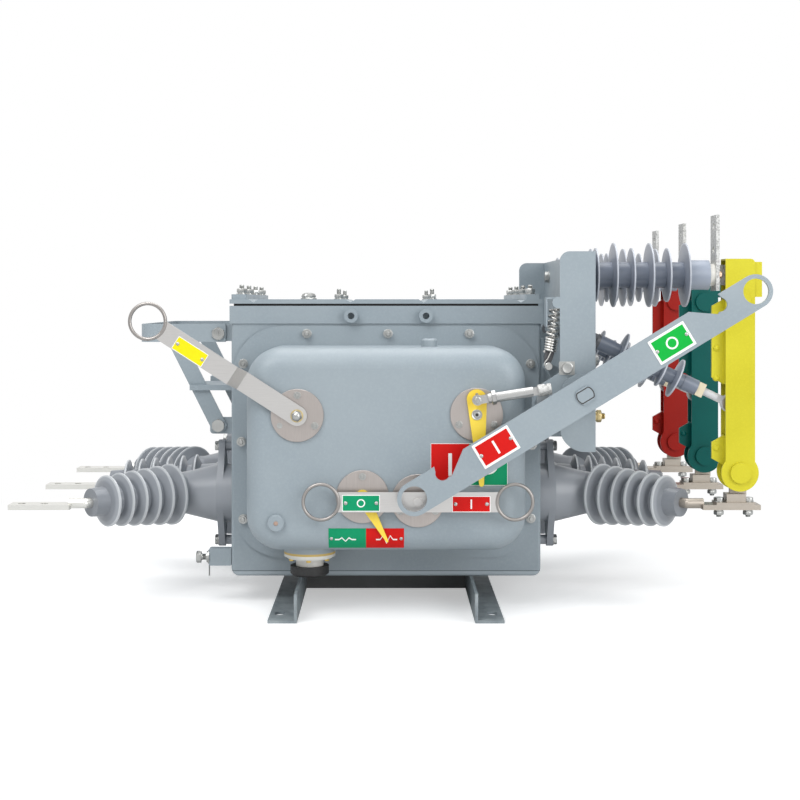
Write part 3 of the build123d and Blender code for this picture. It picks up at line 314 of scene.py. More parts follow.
# Terminal bars, contacts and blades: flat copper, tinned on the left side and silvered where
# the knives touch it, pale and slightly patchy.
PHASES = ("front", "middle", "rear")
tinned = brushed("tinned_copper", tone(224, 223, 218), 0, 0.36)
paint_nodes(["terminal_bars"], tinned)
silvered = brushed("silvered_copper", tone(172, 164, 154), 0, 0.42)
paint_nodes(["lower_contacts"], silvered)
blade_metal = brushed("blade_copper", tone(206, 200, 194), 2, 0.35)
paint_nodes([f"knife_blade_{phase}" for phase in PHASES], blade_metal)

# Upper terminals: flat bars, hot-dip galvanized, so that their faces show a rough flower of
# zinc. Each is bolted upright to its post insulator.
FLOWERS_PER_METRE = 260.0
terminal_zinc, zinc_tree, zinc_shader, zinc_place = finish_material("terminal_zinc", 0.6, 0.5)
zinc_flower = add_node(
    zinc_tree, "TexVoronoi", {"Vector": zinc_place, "Scale": FLOWERS_PER_METRE}
).outputs["Distance"]
zinc_fleck = steps(zinc_tree, zinc_flower, 0.1, 0.7)
zinc_colour = blend(zinc_tree, zinc_fleck, tone(150, 150, 148), tone(200, 200, 198))
wire(zinc_tree, zinc_colour, zinc_shader.inputs["Base Color"])
relief(zinc_tree, zinc_flower, zinc_shader, 0.7, 0.0006)
paint_nodes(["upper_terminals"], terminal_zinc)

# Pointers: cut from steel sheet and enamelled yellow, a little thin in patches. Each turns on
# its shaft in front of a dial.
pointer_enamel = enamel("pointer_yellow", tone(243, 214, 74), tone(238, 204, 62), 0.35, patch=30.0)
paint_nodes(["position_pointer", "charge_pointer"], pointer_enamel)

# Bushings: cast resin bodies, mid grey, with a painted highlight on their shed rims and painted
# shade at their cores, bolted to the tank's sides. The outer two on each side lean away from the
# middle one beyond their bend.
# Body colour, a paler one painted on the shed rims as highlight, and a darker one painted at the
# core as shade.
BUSHING_COLOURS_AND_PAINTED_LIGHT = (tone(150, 154, 160), tone(190, 193, 196), tone(126, 130, 136))
BUSHING_Z = 0.188
BUSHING_PITCH = 0.139
BUSHING_CORE = 0.034
LEAN = {"front": math.radians(-42.3), "middle": 0.0, "rear": math.radians(42.3)}
BEND_X = {"front": 0.3746, "middle": 0.3366, "rear": 0.3746}
SIDES = {"left": -1, "right": 1}
BUSHING_RIM = {
    "mean": 0.0594, "slope": -0.0778, "swing": 0.0, "first": 0.037, "pitch": 0.027, "start": 0.022,
}


def shed_rubber(name, colours, start, direction, rim, core, zones=()):
    """Insulator colours, told apart by the distance from the axis: a painted highlight on the shed
    rims, the body colour, and painted shade at the core. The rim radius at a distance s along the
    axis is rim["mean"] + rim["slope"] * s + rim["swing"] * cos(pi * (s - rim["first"]) /
    rim["pitch"]).
    There are no rims before rim["start"]. Each zone is a span of s with a colour of its own."""
    body, pale, dark = colours
    material, tree, shader, place = finish_material(name, 0.32)

    def number(operation, *values):
        """The result of one maths node."""
        return add_node(tree, "Math", dict(enumerate(values)), operation=operation).outputs[0]

    def vector(operation, *values):
        """The outputs of one vector maths node, Vector and Value."""
        made = add_node(tree, "VectorMath", dict(enumerate(values)), operation=operation)
        return made.outputs

    offset = vector("SUBTRACT", place, start)["Vector"]
    along = vector("DOT_PRODUCT", offset, direction)["Value"]
    radius = vector("LENGTH", vector("CROSS_PRODUCT", offset, direction)["Vector"])["Value"]
    pace = math.pi / rim["pitch"]
    wave = number("COSINE", number("MULTIPLY_ADD", along, pace, -rim["first"] * pace))
    inward = number("MULTIPLY_ADD", wave, -rim["swing"], radius)
    inward = number("MULTIPLY_ADD", along, -rim["slope"], inward)
    # Painted light: the pale colour near the rims is a painted highlight, and the dark one near the
    # core painted shade.
    rim_highlight_mask = steps(tree, inward, rim["mean"] - 0.0034, rim["mean"] - 0.0016)
    past_start = steps(tree, along, rim["start"], rim["start"] + 0.0005)
    core_shade_mask = steps(tree, radius, core + 0.005, core + 0.0005)
    mottle = steps(tree, cloud(tree, place, 14.0), 0.35, 0.7)
    base = blend(tree, mottle, body, tuple(c * 0.92 for c in body))
    base = blend(tree, core_shade_mask, base, dark)
    base = blend(tree, number("MULTIPLY", rim_highlight_mask, past_start), base, pale)
    for low, high, colour in zones:
        base = blend(tree, between(tree, along, low, high), base, colour)
    wire(tree, base, shader.inputs["Base Color"])
    relief(tree, cloud(tree, place, 700.0), shader, 0.3, 0.00008)
    return material


for row, phase in enumerate(PHASES):
    for word, side in SIDES.items():
        bend_place = (side * BEND_X[phase], (row - 1) * BUSHING_PITCH, BUSHING_Z)
        lean_way = (side * math.cos(LEAN[phase]), math.sin(LEAN[phase]), 0.0)
        resin = shed_rubber(
            f"bushing_resin_{word}_{phase}", BUSHING_COLOURS_AND_PAINTED_LIGHT, bend_place, lean_way, BUSHING_RIM, BUSHING_CORE
        )
        paint_nodes([f"bushing_{word}_{phase}"], resin)

# Posts and drive insulators: blue-grey silicone rubber moulded on a rod, large and small sheds by
# turns, with a painted highlight on the shed edges and painted shade at the core. Their ends are
# metal caps and eyes.
PHASE_Y = {"front": -0.285, "middle": 0.0, "rear": 0.285}
# Body colour, a paler one painted on the shed edges as highlight, and a darker one painted at the
# core as shade.
RUBBER_COLOURS_AND_PAINTED_LIGHT = (tone(132, 138, 150), tone(178, 182, 190), tone(112, 120, 134))
POST_Z = 0.594
POST_CORE, DRIVE_CORE = 0.0232, 0.0132
POST_RIM = {
    "mean": 0.0525, "slope": 0.0, "swing": 0.0045, "first": 0.531, "pitch": 0.0317, "start": 0.0,
}
POST_ENDS = ((0.5385, 0.5728, tone(150, 158, 172)), (0.5728, 0.60, tone(222, 220, 214)))
DRIVE_RIM = {
    "mean": 0.032, "slope": 0.0, "swing": 0.004, "first": 0.182, "pitch": 0.027, "start": 0.0,
}
DRIVE_ENDS = (
    (-0.02, 0.032, tone(96, 98, 102)), (0.223, 0.236, tone(212, 200, 172)),
    (0.236, 0.30, tone(198, 198, 200)),
)
CRANK_PIN = (0.350, 0.488)
KNIFE_PIN = (0.610, 0.366)
drive_x, drive_z = KNIFE_PIN[0] - CRANK_PIN[0], KNIFE_PIN[1] - CRANK_PIN[1]
drive_length = math.hypot(drive_x, drive_z)
drive_way = (drive_x / drive_length, 0.0, drive_z / drive_length)
for phase in PHASES:
    y = PHASE_Y[phase]
    post_rubber = shed_rubber(
        f"post_rubber_{phase}", RUBBER_COLOURS_AND_PAINTED_LIGHT, (0.0, y, POST_Z), (1.0, 0.0, 0.0),
        POST_RIM, POST_CORE, POST_ENDS,
    )
    paint_nodes([f"post_insulator_{phase}"], post_rubber)
    drive_rubber = shed_rubber(
        f"drive_rubber_{phase}", RUBBER_COLOURS_AND_PAINTED_LIGHT, (CRANK_PIN[0], y, CRANK_PIN[1]), drive_way,
        DRIVE_RIM, DRIVE_CORE, DRIVE_ENDS,
    )
    paint_nodes([f"drive_insulator_{phase}"], drive_rubber)

# Knife covers: moulded plastic in the three phase colours, with a faint moulding grain and
# less shine than enamel. Each is riveted over its knife.
COVER_COLOURS = {
    "front": (tone(206, 197, 50), tone(199, 189, 42)),
    "middle": (tone(0, 88, 83), tone(0, 82, 78)),
    "rear": (tone(162, 28, 18), tone(152, 24, 15)),
}
COVER_SHINE = 0.16
COVER_PLASTIC = {}


def dull(material, shine):
    """Sets how much a material mirrors, where paint has 0.5."""
    shader = material.node_tree.nodes["Principled BSDF"]
    shader.inputs["Specular IOR Level"].default_value = shine


for phase, (colour, shade) in COVER_COLOURS.items():
    moulding = enamel(f"cover_plastic_{phase}", colour, shade, 0.36, 1400.0, 0.00003, 8.0)
    dull(moulding, COVER_SHINE)
    COVER_PLASTIC[phase] = moulding
    paint_nodes([f"knife_cover_{phase}"], moulding)

# Connector: a painted flange, a passivated gold plate and an alloy sleeve under it, told apart
# by their depth below the cover, and a black rubber cap pushed over the sleeve.
GOLD_DROP, SLEEVE_DROP, SLEEVE_BLUR = 0.0095, 0.0135, 0.0001
connector_alloy, alloy_tree, alloy_shader, alloy_place = finish_material("connector", 0.4)
alloy_height = height_in(alloy_tree)
socket_low, socket_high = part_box("connector_socket")
over_gold = above(alloy_tree, alloy_height, socket_high.z - GOLD_DROP, SLEEVE_BLUR)
over_sleeve = above(alloy_tree, alloy_height, socket_high.z - SLEEVE_DROP, SLEEVE_BLUR)
alloy_colour = blend(alloy_tree, over_sleeve, tone(214, 212, 206), tone(196, 168, 96))
alloy_colour = blend(alloy_tree, over_gold, alloy_colour, BODY_GREY)
wire(alloy_tree, alloy_colour, alloy_shader.inputs["Base Color"])
relief(alloy_tree, cloud(alloy_tree, alloy_place, 600.0), alloy_shader, 0.3, 0.0001)
paint_nodes(["connector_socket"], connector_alloy)
cap_rubber = enamel("cap_rubber", tone(38, 38, 38), tone(26, 26, 26), 0.55, 500.0, 0.0003, 40.0)
paint_nodes(["connector_cap"], cap_rubber)

# Tank and cover fastenings: washered nuts on the cover flange, studs and nuts on the lid
# clamps, long studs on the lid and a domed filling plug. Zinc-plated steel, turned or cut to a
# hexagon, each set down on the surface that a ray meets.
FRONT, UP, DOWN = (0, -1, 0), (0, 0, 1), (0, 0, -1)
ROUND_SIDES = 24
SHARP_EDGE = math.radians(34)
SPANNER_TURN = 0.7
RAY_START = 1.0
COVER_THREAD, CLAMP_THREAD, LID_THREAD = 0.0080, 0.0095, 0.0085
COVER_ROW_X, COVER_TOP, COVER_BOTTOM = (-0.1429, 0.0036, 0.1505), 0.4885, 0.1075
COVER_SIDE_NUTS = [
    (-0.2577, 0.4345), (0.2612, 0.4345), (-0.2612, 0.2937), (0.2640, 0.2877),
    (-0.2577, 0.1540), (0.2615, 0.1550),
]
CLAMP_X, CLAMP_BOLTS_Y = 0.264, (-0.210, -0.070, 0.070, 0.210)
LID_STUDS_X, LID_STUDS_Y = (-0.088, 0.086), (-0.155, 0.235)
PLUG_X, PLUG_Y = -0.150, -0.05
# Profile rows are distance, radius and hexagon share, in metres for the plug and in thread
# diameters for what fits any thread. Rays start one metre out, clear of the object.
PLUG = [
    (0.0, 0.0155, 0), (0.002, 0.0155, 0), (0.004, 0.0128, 0), (0.006, 0.0125, 1),
    (0.0105, 0.0118, 0.2), (0.0125, 0.008, 0), (0.013, 0.001, 0),
]
WASHER = [(0.0, 1.08, 0), (0.14, 1.08, 0), (0.16, 1.03, 0)]
NUT = [
    *WASHER, (0.16, 0.80, 0), (0.34, 0.80, 0), (0.34, 0.82, 0.3), (0.42, 0.84, 1),
    (1.02, 0.84, 1), (1.12, 0.82, 0.3), (1.13, 0.56, 0), (1.09, 0.5, 0),
]
zinc = brushed("zinc_plate", tone(178, 179, 177), 2, 0.30, 0.95, 240.0)


def land(node, origin, direction):
    """Where a ray from origin first meets a CAD node, in metres."""
    way = Vector(direction).normalized()
    hit, place, _, _ = nodes[node].ray_cast(Vector(origin), way)
    if not hit:
        raise RuntimeError(f"nothing of {node} lies along {tuple(way)} from {tuple(origin)}")
    return np.array(place)


def cross_axes(out):
    """Two unit vectors square to out and to each other, so that first x second = out."""
    axis = np.array(out, float) / np.linalg.norm(out)
    guide = np.array([0, 0, 1.0]) if abs(axis[2]) < 0.9 else np.array([1.0, 0, 0])
    first = np.cross(guide, axis)
    first /= np.linalg.norm(first)
    return first, np.cross(axis, first), axis


def band_faces(rows, sides):
    """Quads between neighbouring rings of points, and a cap on the first and last ring."""
    ring, step = np.meshgrid(np.arange(rows - 1), np.arange(sides), indexing="ij")
    near, far = ring * sides + step, ring * sides + (step + 1) % sides
    quads = np.stack([near, far, far + sides, near + sides], axis=-1).reshape(-1, 4)
    last = (rows - 1) * sides
    return [*quads.tolist(), list(range(sides))[::-1], list(range(last, last + sides))]


def turned(profile, foot, out, spin=0.0, sides=ROUND_SIDES):
    """A closed turned form. Each profile row is distance along out, radius and hexagon share:
    a point's radius is divided by the cosine of its angle from the nearest flat's middle,
    raised to the share, so 0 is a circle and 1 a hexagon of that inner radius."""
    rows = np.array(profile, float)
    angle = np.arange(sides) / sides * 2 * np.pi
    from_flat = (angle + np.pi / 6) % (np.pi / 3) - np.pi / 6
    radius = rows[:, 1, None] / np.cos(from_flat)[None] ** rows[:, 2, None]
    first, second, axis = cross_axes(out)
    ring = np.cos(angle + spin)[:, None] * first + np.sin(angle + spin)[:, None] * second
    points = np.array(foot) + rows[:, 0, None, None] * axis + radius[..., None] * ring[None]
    return points.reshape(-1, 3), band_faces(len(rows), sides)


def scaled(profile, size):
    """A profile given in thread diameters, in metres for one thread diameter."""
    return [(distance * size, radius * size, share) for distance, radius, share in profile]


def stud(profile, length, pitch=0.15):
    """Adds a threaded end to a nut's profile: ridges of 0.5 and 0.43 at every half pitch."""
    start = profile[-1][0]
    turns = int(length / pitch)
    ridges = [
        (start + (turn + half / 2) * pitch, 0.43 if half else 0.5, 0)
        for turn in range(turns)
        for half in (0, 1)
    ]
    return [*profile, *ridges, (start + turns * pitch, 0.42, 0), (start + turns * pitch, 0.05, 0)]


def fasten(node, spots, out, profile, thread, material, aside=(0, 0, 0)):
    """One fastener for each spot, a point outside the node, set where the way in meets it,
    or at the height met a little aside where it covers a hole. Each is spun a little more
    than the last, as spanners leave them."""
    inward = tuple(-value for value in out)
    made = []
    for turn, spot in enumerate(spots):
        foot = land(node, np.array(spot) + aside, inward) - aside
        made.append((*turned(scaled(profile, thread), foot, out, SPANNER_TURN * turn), material))
    return made


def assemble(name, items, body):
    """Joins (points, faces, material) items into one piece, smooth but for its sharp edges,
    which rides on a CAD body."""
    mesh = bpy.data.meshes.new(name)
    points, faces, chosen, used, start = [], [], [], [], 0
    for item_points, item_faces, material in items:
        if material not in used:
            used.append(material)
        points.append(item_points)
        faces += [[corner + start for corner in face] for face in item_faces]
        chosen += [used.index(material)] * len(item_faces)
        start += len(item_points)
    mesh.from_pydata(np.concatenate(points).tolist(), [], faces)
    for material in used:
        mesh.materials.append(material)
    mesh.polygons.foreach_set("material_index", chosen)
    mesh.shade_smooth()
    mesh.set_sharp_from_angle(angle=SHARP_EDGE)
    thing = bpy.data.objects.new(name, mesh)
    scene.collection.objects.link(thing)
    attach(thing, body)
    return thing


top_nuts, bottom_nuts = ([(x, z) for x in COVER_ROW_X] for z in (COVER_TOP, COVER_BOTTOM))
cover_spots = [(x, -RAY_START, z) for x, z in top_nuts + COVER_SIDE_NUTS + bottom_nuts]
cover_nut = stud(NUT, 0.35)
cover_items = fasten("mechanism_cover", cover_spots, FRONT, cover_nut, COVER_THREAD, zinc)
assemble("cover_nuts", cover_items, "root")

clamp_spots = [(side * CLAMP_X, y, RAY_START) for side in (-1, 1) for y in CLAMP_BOLTS_Y]
lid_items = fasten("lid_clamps", clamp_spots, UP, stud(NUT, 0.75), CLAMP_THREAD, zinc)
stud_spots = [(x, y, RAY_START) for x in LID_STUDS_X for y in LID_STUDS_Y]
lid_items += fasten("tank_lid", stud_spots, UP, stud(NUT, 1.25), LID_THREAD, zinc)
plug_foot = land("tank_lid", (PLUG_X, PLUG_Y, RAY_START), DOWN)
lid_items.append((*turned(PLUG, plug_foot, UP), zinc))
assemble("lid_studs", lid_items, "root")

# Bushing bolts: two hex bolts with washers through the ears of each bushing, one above and one
# below it, driven into the tank's side. Zinc-plated steel.
BUSHING_EAR, EAR_THREAD = 0.088, 0.0100
HEX_HEAD = [
    *WASHER, (0.16, 0.84, 1), (0.66, 0.84, 1), (0.76, 0.86, 0.25), (0.78, 0.78, 0),
    (0.76, 0.70, 0), (0.76, 0.05, 0),
]
ear_items = []
for word, side in SIDES.items():
    for row, phase in enumerate(PHASES):
        y = (row - 1) * BUSHING_PITCH
        spots = [(side * RAY_START, y, BUSHING_Z + end * BUSHING_EAR) for end in (-1, 1)]
        ear_items += fasten(
            f"bushing_{word}_{phase}", spots, (side, 0, 0), HEX_HEAD, EAR_THREAD, zinc
        )
assemble("bushing_bolts", ear_items, "root")

# Hanger bolts: the big hex bolts that hold the hanger's hoop and braces to their lugs, above
# and below, front and rear. Zinc-plated steel.
HANGER_X, HANGER_HEIGHTS = -0.3065, (0.4880, 0.3200)
HANGER_THREAD = 0.0130
hanger_items = []
for z in HANGER_HEIGHTS:
    for side in (-1, 1):
        spot = (HANGER_X, side * RAY_START, z)
        hanger_items += fasten("hanger_lugs", [spot], (0, side, 0), HEX_HEAD, HANGER_THREAD, zinc)
assemble("hanger_bolts", hanger_items, "root")

# Dial fastenings: three small nuts hold each dial to the cover, at the top and at both lower
# sides. The lower left one of the charging dial is a flush screw, so that the handle passes
# it. Zinc-plated steel.
DIALS = {
    "charging": (-0.151, 0.353), "position": (0.154, 0.355),
    "charge": (-0.040, 0.215), "trip": (0.054, 0.208),
}
DIAL_BOLT_CIRCLE = 0.0345
DIAL_BOLT_TURNS = (90, 210, 330)
DIAL_THREAD = 0.0058
FLUSH_SCREW = [
    (0.0, 0.88, 0), (0.036, 0.88, 0), (0.040, 0.84, 0), (0.040, 0.50, 1), (0.012, 0.46, 1),
    (0.012, 0.05, 1),
]


def around(centre, radius, turns):
    """Points on a circle round a flat centre, one for each angle in degrees: the centre plus
    the radius times the angle's cosine and sine."""
    angles = np.radians(turns)
    return np.array(centre) + radius * np.stack([np.cos(angles), np.sin(angles)], axis=1)


dial_items = []
for dial, centre in DIALS.items():
    circle = around(centre, DIAL_BOLT_CIRCLE, DIAL_BOLT_TURNS)
    spots = [(x, -RAY_START, z) for x, z in circle]
    if dial == "charging":
        dial_items += fasten("dial_discs", spots[1:2], FRONT, FLUSH_SCREW, DIAL_THREAD, zinc)
        spots = spots[::2]
    dial_items += fasten("dial_discs", spots, FRONT, stud(NUT, 0.2), DIAL_THREAD, zinc)
assemble("dial_bolts", dial_items, "root")

# Position plate, and how every sign is made: a white-edged enamelled plate with its fields and
# a mark as thin films, a bar for closed and a ring for open. This one is bonded to the cover
# behind its pointer, red for closed and green for open.
SIGN_SHINE = 0.2
PLATE, FILM = 0.0010, 0.0002
PLATE_CORNER, FIELD_CORNER = 0.0015, 0.0004
SIGN_RIVET_THREAD = 0.0065
RIVET = [(0.0, 0.5, 0), (0.10, 0.49, 0), (0.22, 0.38, 0), (0.29, 0.20, 0), (0.31, 0.05, 0)]


def sign_enamel(name, colour, shade):
    """Sign paint: a very fine grain and less shine than the body paint."""
    paint = enamel(name, colour, shade, 0.45, 500.0, 0.00002)
    dull(paint, SIGN_SHINE)
    return paint


sign_white = enamel("sign_white", tone(240, 240, 238), tone(234, 234, 232), 0.35, 500.0, 0.00002)
sign_red = sign_enamel("sign_red", tone(206, 14, 8), tone(198, 12, 7))
sign_green = sign_enamel("sign_green", tone(0, 146, 98), tone(0, 140, 94))


def face_point(node, x, z):
    """The point of a CAD node that shows from the front at x and z."""
    return land(node, (x, -RAY_START, z), (0, 1, 0))


def slab(outline, thickness, foot, along, out):
    """A flat prism: outline points, measured along and square to along, raised by thickness."""
    outline = np.array(outline, float)
    axis = np.array(out, float) / np.linalg.norm(out)
    first = np.array(along, float) / np.linalg.norm(along)
    second = np.cross(axis, first)
    flat = np.array(foot) + outline[:, :1] * first + outline[:, 1:] * second
    return np.concatenate([flat, flat + thickness * axis]), band_faces(2, len(outline))


def rounded_box(width, height, radius, corner_steps=5):
    """Outline of a rectangle with quarter-circle corners, centred, counterclockwise."""
    corners = []
    for quarter, (x, z) in enumerate(((1, 1), (-1, 1), (-1, -1), (1, -1))):
        turn = (np.linspace(0, 1, corner_steps) + quarter) * np.pi / 2
        centre = np.array([x * (width / 2 - radius), z * (height / 2 - radius)])
        corners.append(centre + radius * np.stack([np.cos(turn), np.sin(turn)], axis=1))
    return np.concatenate(corners)


def ring_faces(outer, inner, thickness, foot, along, out, sides=36):
    """A flat ring between two outlines, each one radius or one for each side: four rings
    of points joined edge to edge, closed."""
    angle = np.arange(sides) / sides * 2 * np.pi
    axis = np.array(out, float)
    first = np.array(along, float)
    second = np.cross(axis, first)
    circle = np.cos(angle)[:, None] * first + np.sin(angle)[:, None] * second
    layers = [
        np.array(foot) + radius * circle + height * axis
        for radius, height in ((outer, 0), (outer, thickness), (inner, thickness), (inner, 0))
    ]
    quads = [face for face in band_faces(4, sides) if len(face) == 4]
    near = np.arange(sides)
    far, last = (near + 1) % sides, 3 * sides
    closing = np.stack([last + near, last + far, far, near], axis=1)
    return np.concatenate(layers), quads + closing.tolist()


def mark(kind, height, foot, along):
    """A white painted mark on a plate that faces the front: a bar or a ring."""
    if kind == "bar":
        outline = rounded_box(height * 0.16, height, FIELD_CORNER, 2)
        return (*slab(outline, FILM, foot, along, FRONT), sign_white)
    return (*ring_faces(height / 2, height * 0.36, FILM, foot, along, FRONT), sign_white)


def sign(foot, along, width, height, border, fields, rivets):
    """A plate facing the front: white border, coloured fields side by side, their marks, and
    rivets. fields are (share of the width, material, mark, mark height)."""
    foot, along = np.array(foot, float), np.array(along, float)
    lift = np.array(FRONT, float)
    across = np.cross(lift, along)
    plate = slab(rounded_box(width, height, PLATE_CORNER), PLATE, foot, along, FRONT)
    items = [(*plate, sign_white)]
    inner_width, inner_height = width - 2 * border, height - 2 * border
    left = -inner_width / 2
    for share, material, kind, size in fields:
        middle = foot + PLATE * lift + (left + share * inner_width / 2) * along
        outline = rounded_box(share * inner_width, inner_height, FIELD_CORNER, 2)
        items.append((*slab(outline, FILM, middle, along, FRONT), material))
        if kind:
            items.append(mark(kind, size, middle + FILM * lift, along))
        left += share * inner_width
    for x, z in rivets:
        rivet_foot = foot + PLATE * lift + x * along + z * across
        items.append((*turned(scaled(RIVET, SIGN_RIVET_THREAD), rivet_foot, FRONT), zinc))
    return items


position_y = face_point("mechanism_cover", 0.1250, 0.2700)[1]
position_items = sign(
    (0.1414, position_y, 0.2697), (1, 0, 0), 0.1310, 0.0716, 0.0008,
    ((0.5, sign_red, "bar", 0.038), (0.5, sign_green, "ring", 0.034)), (),
)
assemble("position_plate", position_items, "root")

# Lever signs and shaft end: a red plate below the shaft and a green one above it, riveted on,
# and the sunk seam where the flattened end of the shaft is welded flush into the lever.
LEVER_CENTRE = np.array((0.3320, -0.4480, 0.3905))
LEVER_TURN = math.radians(31.3)
LEVER_ALONG = np.array((math.cos(LEVER_TURN), 0, math.sin(LEVER_TURN)))
LEVER_ACROSS = np.cross(FRONT, LEVER_ALONG)
LEVER_SIGN = (0.0695, 0.0446, 0.0042)
LEVER_RIVETS = ((-0.0285, 0.0), (0.0285, 0.0))
SEAM_RADIUS, SEAM_HALF, SEAM_WIDTH, SEAM_SIDES = 0.0155, 0.0106, 0.0018, 72
# Dark colour for the shaft's welded seam, and for the painted shade in the pointer screw's socket.
seam_dark_and_hole_shade = enamel("seam_dark_and_hole_shade", tone(52, 50, 48), tone(40, 38, 36), 0.5, 600.0)
lever_green = sign_enamel("lever_green", tone(0, 172, 60), tone(0, 164, 56))
lever_items = []
for along, across, material, kind, size in (
    (-0.1718, 0.0035, sign_red, "bar", 0.024), (0.1689, -0.0007, lever_green, "ring", 0.021),
):
    foot = LEVER_CENTRE + along * LEVER_ALONG + across * LEVER_ACROSS
    fields = ((1.0, material, kind, size),)
    lever_items += sign(foot, LEVER_ALONG, *LEVER_SIGN, fields, LEVER_RIVETS)


def flattened(radius, half):
    """A circle of a radius cut off flat at half above and below: the lesser of the radius and
    half divided by the sine, with a hair added to the sine where it is 0."""
    sine = np.abs(np.sin(np.arange(SEAM_SIDES) / SEAM_SIDES * 2 * np.pi)) + 1e-9
    return np.minimum(radius, half / sine)[:, None]


seam_outer = flattened(SEAM_RADIUS, SEAM_HALF)
seam_inner = flattened(SEAM_RADIUS - SEAM_WIDTH, SEAM_HALF - SEAM_WIDTH)
shaft_face = face_point("isolator_shaft", LEVER_CENTRE[0], LEVER_CENTRE[2])
seam = ring_faces(seam_outer, seam_inner, FILM, shaft_face, LEVER_ALONG, FRONT, SEAM_SIDES)
lever_items.append((*seam, seam_dark_and_hole_shade))
assemble("lever_signs", lever_items, "isolator_shaft")

# Trip handle: a green plate on its left arm and a red one on its right, two rivets each, and
# the hexagonal end of the trip shaft, of stainless steel.
TRIP_BORDER, TRIP_RIVET_INSET = 0.0013, 0.006
TRIP_SHAFT = [
    (0.0, 0.0105, 0), (0.0012, 0.0105, 0), (0.0012, 0.0075, 1), (0.0036, 0.0075, 1),
    (0.0042, 0.0068, 1), (0.0042, 0.001, 0),
]
trip_items = []
for x, z, width, height, material, kind, size in (
    (-0.0422, 0.2065, 0.0640, 0.0280, sign_green, "ring", 0.014),
    (0.1439, 0.2050, 0.0650, 0.0275, sign_red, "bar", 0.016),
):
    foot = face_point("trip_handle", x, z)
    rivets = [(side * (width / 2 - TRIP_RIVET_INSET), 0.0) for side in (-1, 1)]
    fields = ((1.0, material, kind, size),)
    trip_items += sign(foot, (1, 0, 0), width, height, TRIP_BORDER, fields, rivets)
trip_foot = face_point("trip_handle", *DIALS["trip"])
trip_items.append((*turned(TRIP_SHAFT, trip_foot, FRONT, 0.3), handle_steel))
assemble("trip_signs", trip_items, "trip_handle")

# Charging handle: a yellow plate with a fine white edge, riveted on, and the domed nut that
# holds the handle on its shaft over a yellow-passivated washer.
CHARGING_ALONG = np.array((0.8415, 0, -0.5402))
CHARGING_ACROSS = np.cross(FRONT, CHARGING_ALONG)
CHARGING_PLATE = (0.0594, 0.0245, 0.0010)
CHARGING_REACH, CHARGING_DROP = 0.2092, 0.004
CHARGING_RIVETS = ((-0.0245, 0.0), (0.0245, 0.0))
SHAFT_WASHER = [(0.0, 0.0110, 0), (0.0018, 0.0110, 0), (0.0020, 0.0104, 0), (0.0020, 0.001, 0)]
DOME_THREAD = 0.0100
DOME_NUT = [
    (0.16, 0.84, 1), (0.70, 0.84, 1), (0.80, 0.80, 0.2), (0.98, 0.74, 0), (1.18, 0.60, 0),
    (1.32, 0.36, 0), (1.37, 0.12, 0),
]
sign_yellow = sign_enamel("sign_yellow", tone(236, 222, 16), tone(230, 216, 12))
yellow_zinc = brushed("yellow_zinc", tone(196, 178, 132), 2, 0.34, 0.95, 240.0)
shaft_x, shaft_z = DIALS["charging"]
plate_x, _, plate_z = (
    np.array((shaft_x, 0, shaft_z)) - CHARGING_REACH * CHARGING_ALONG
    - CHARGING_DROP * CHARGING_ACROSS
)
charging_items = sign(
    face_point("charging_handle", plate_x, plate_z), CHARGING_ALONG, *CHARGING_PLATE,
    ((1.0, sign_yellow, None, 0),), CHARGING_RIVETS,
)
dome_foot = face_point("charging_handle", shaft_x, shaft_z)
charging_items += [
    (*turned(SHAFT_WASHER, dome_foot, FRONT), yellow_zinc),
    (*turned(scaled(DOME_NUT, DOME_THREAD), dome_foot, FRONT, 0.2), zinc),
]
assemble("charging_fittings", charging_items, "charging_handle")

# Position pointer: the countersunk screw of its shaft, of zinc-plated steel. Its hexagon socket
# is a thin dark hexagon laid on its face: painted shade where the hole would be.
POINTER_SCREW = [
    (0.0, 0.0090, 0), (0.0014, 0.0090, 0), (0.0018, 0.0085, 0), (0.0012, 0.0064, 0),
    (0.0008, 0.0062, 0), (0.0020, 0.0056, 0), (0.0022, 0.0050, 0), (0.0022, 0.0005, 0),
]
# The socket is a thin dark hexagon on the screw's face: painted shade where the hole would be.
HEX_HOLE_SHADE = [(0.0, 0.0026, 1), (0.0003, 0.0026, 1), (0.0003, 0.0003, 1)]
POINTER_FACE_DROP = 0.011
pointer_x, pointer_z = DIALS["position"]
pointer_y = face_point("position_pointer", pointer_x, pointer_z - POINTER_FACE_DROP)[1]
screw_foot = np.array((pointer_x, pointer_y, pointer_z))
hole_shade_foot = screw_foot + POINTER_SCREW[-1][0] * np.array(FRONT)
pointer_items = [
    (*turned(POINTER_SCREW, screw_foot, FRONT), zinc),
    (*turned(HEX_HOLE_SHADE, hole_shade_foot, FRONT), seam_dark_and_hole_shade),
]
assemble("pointer_screw", pointer_items, "position_pointer")

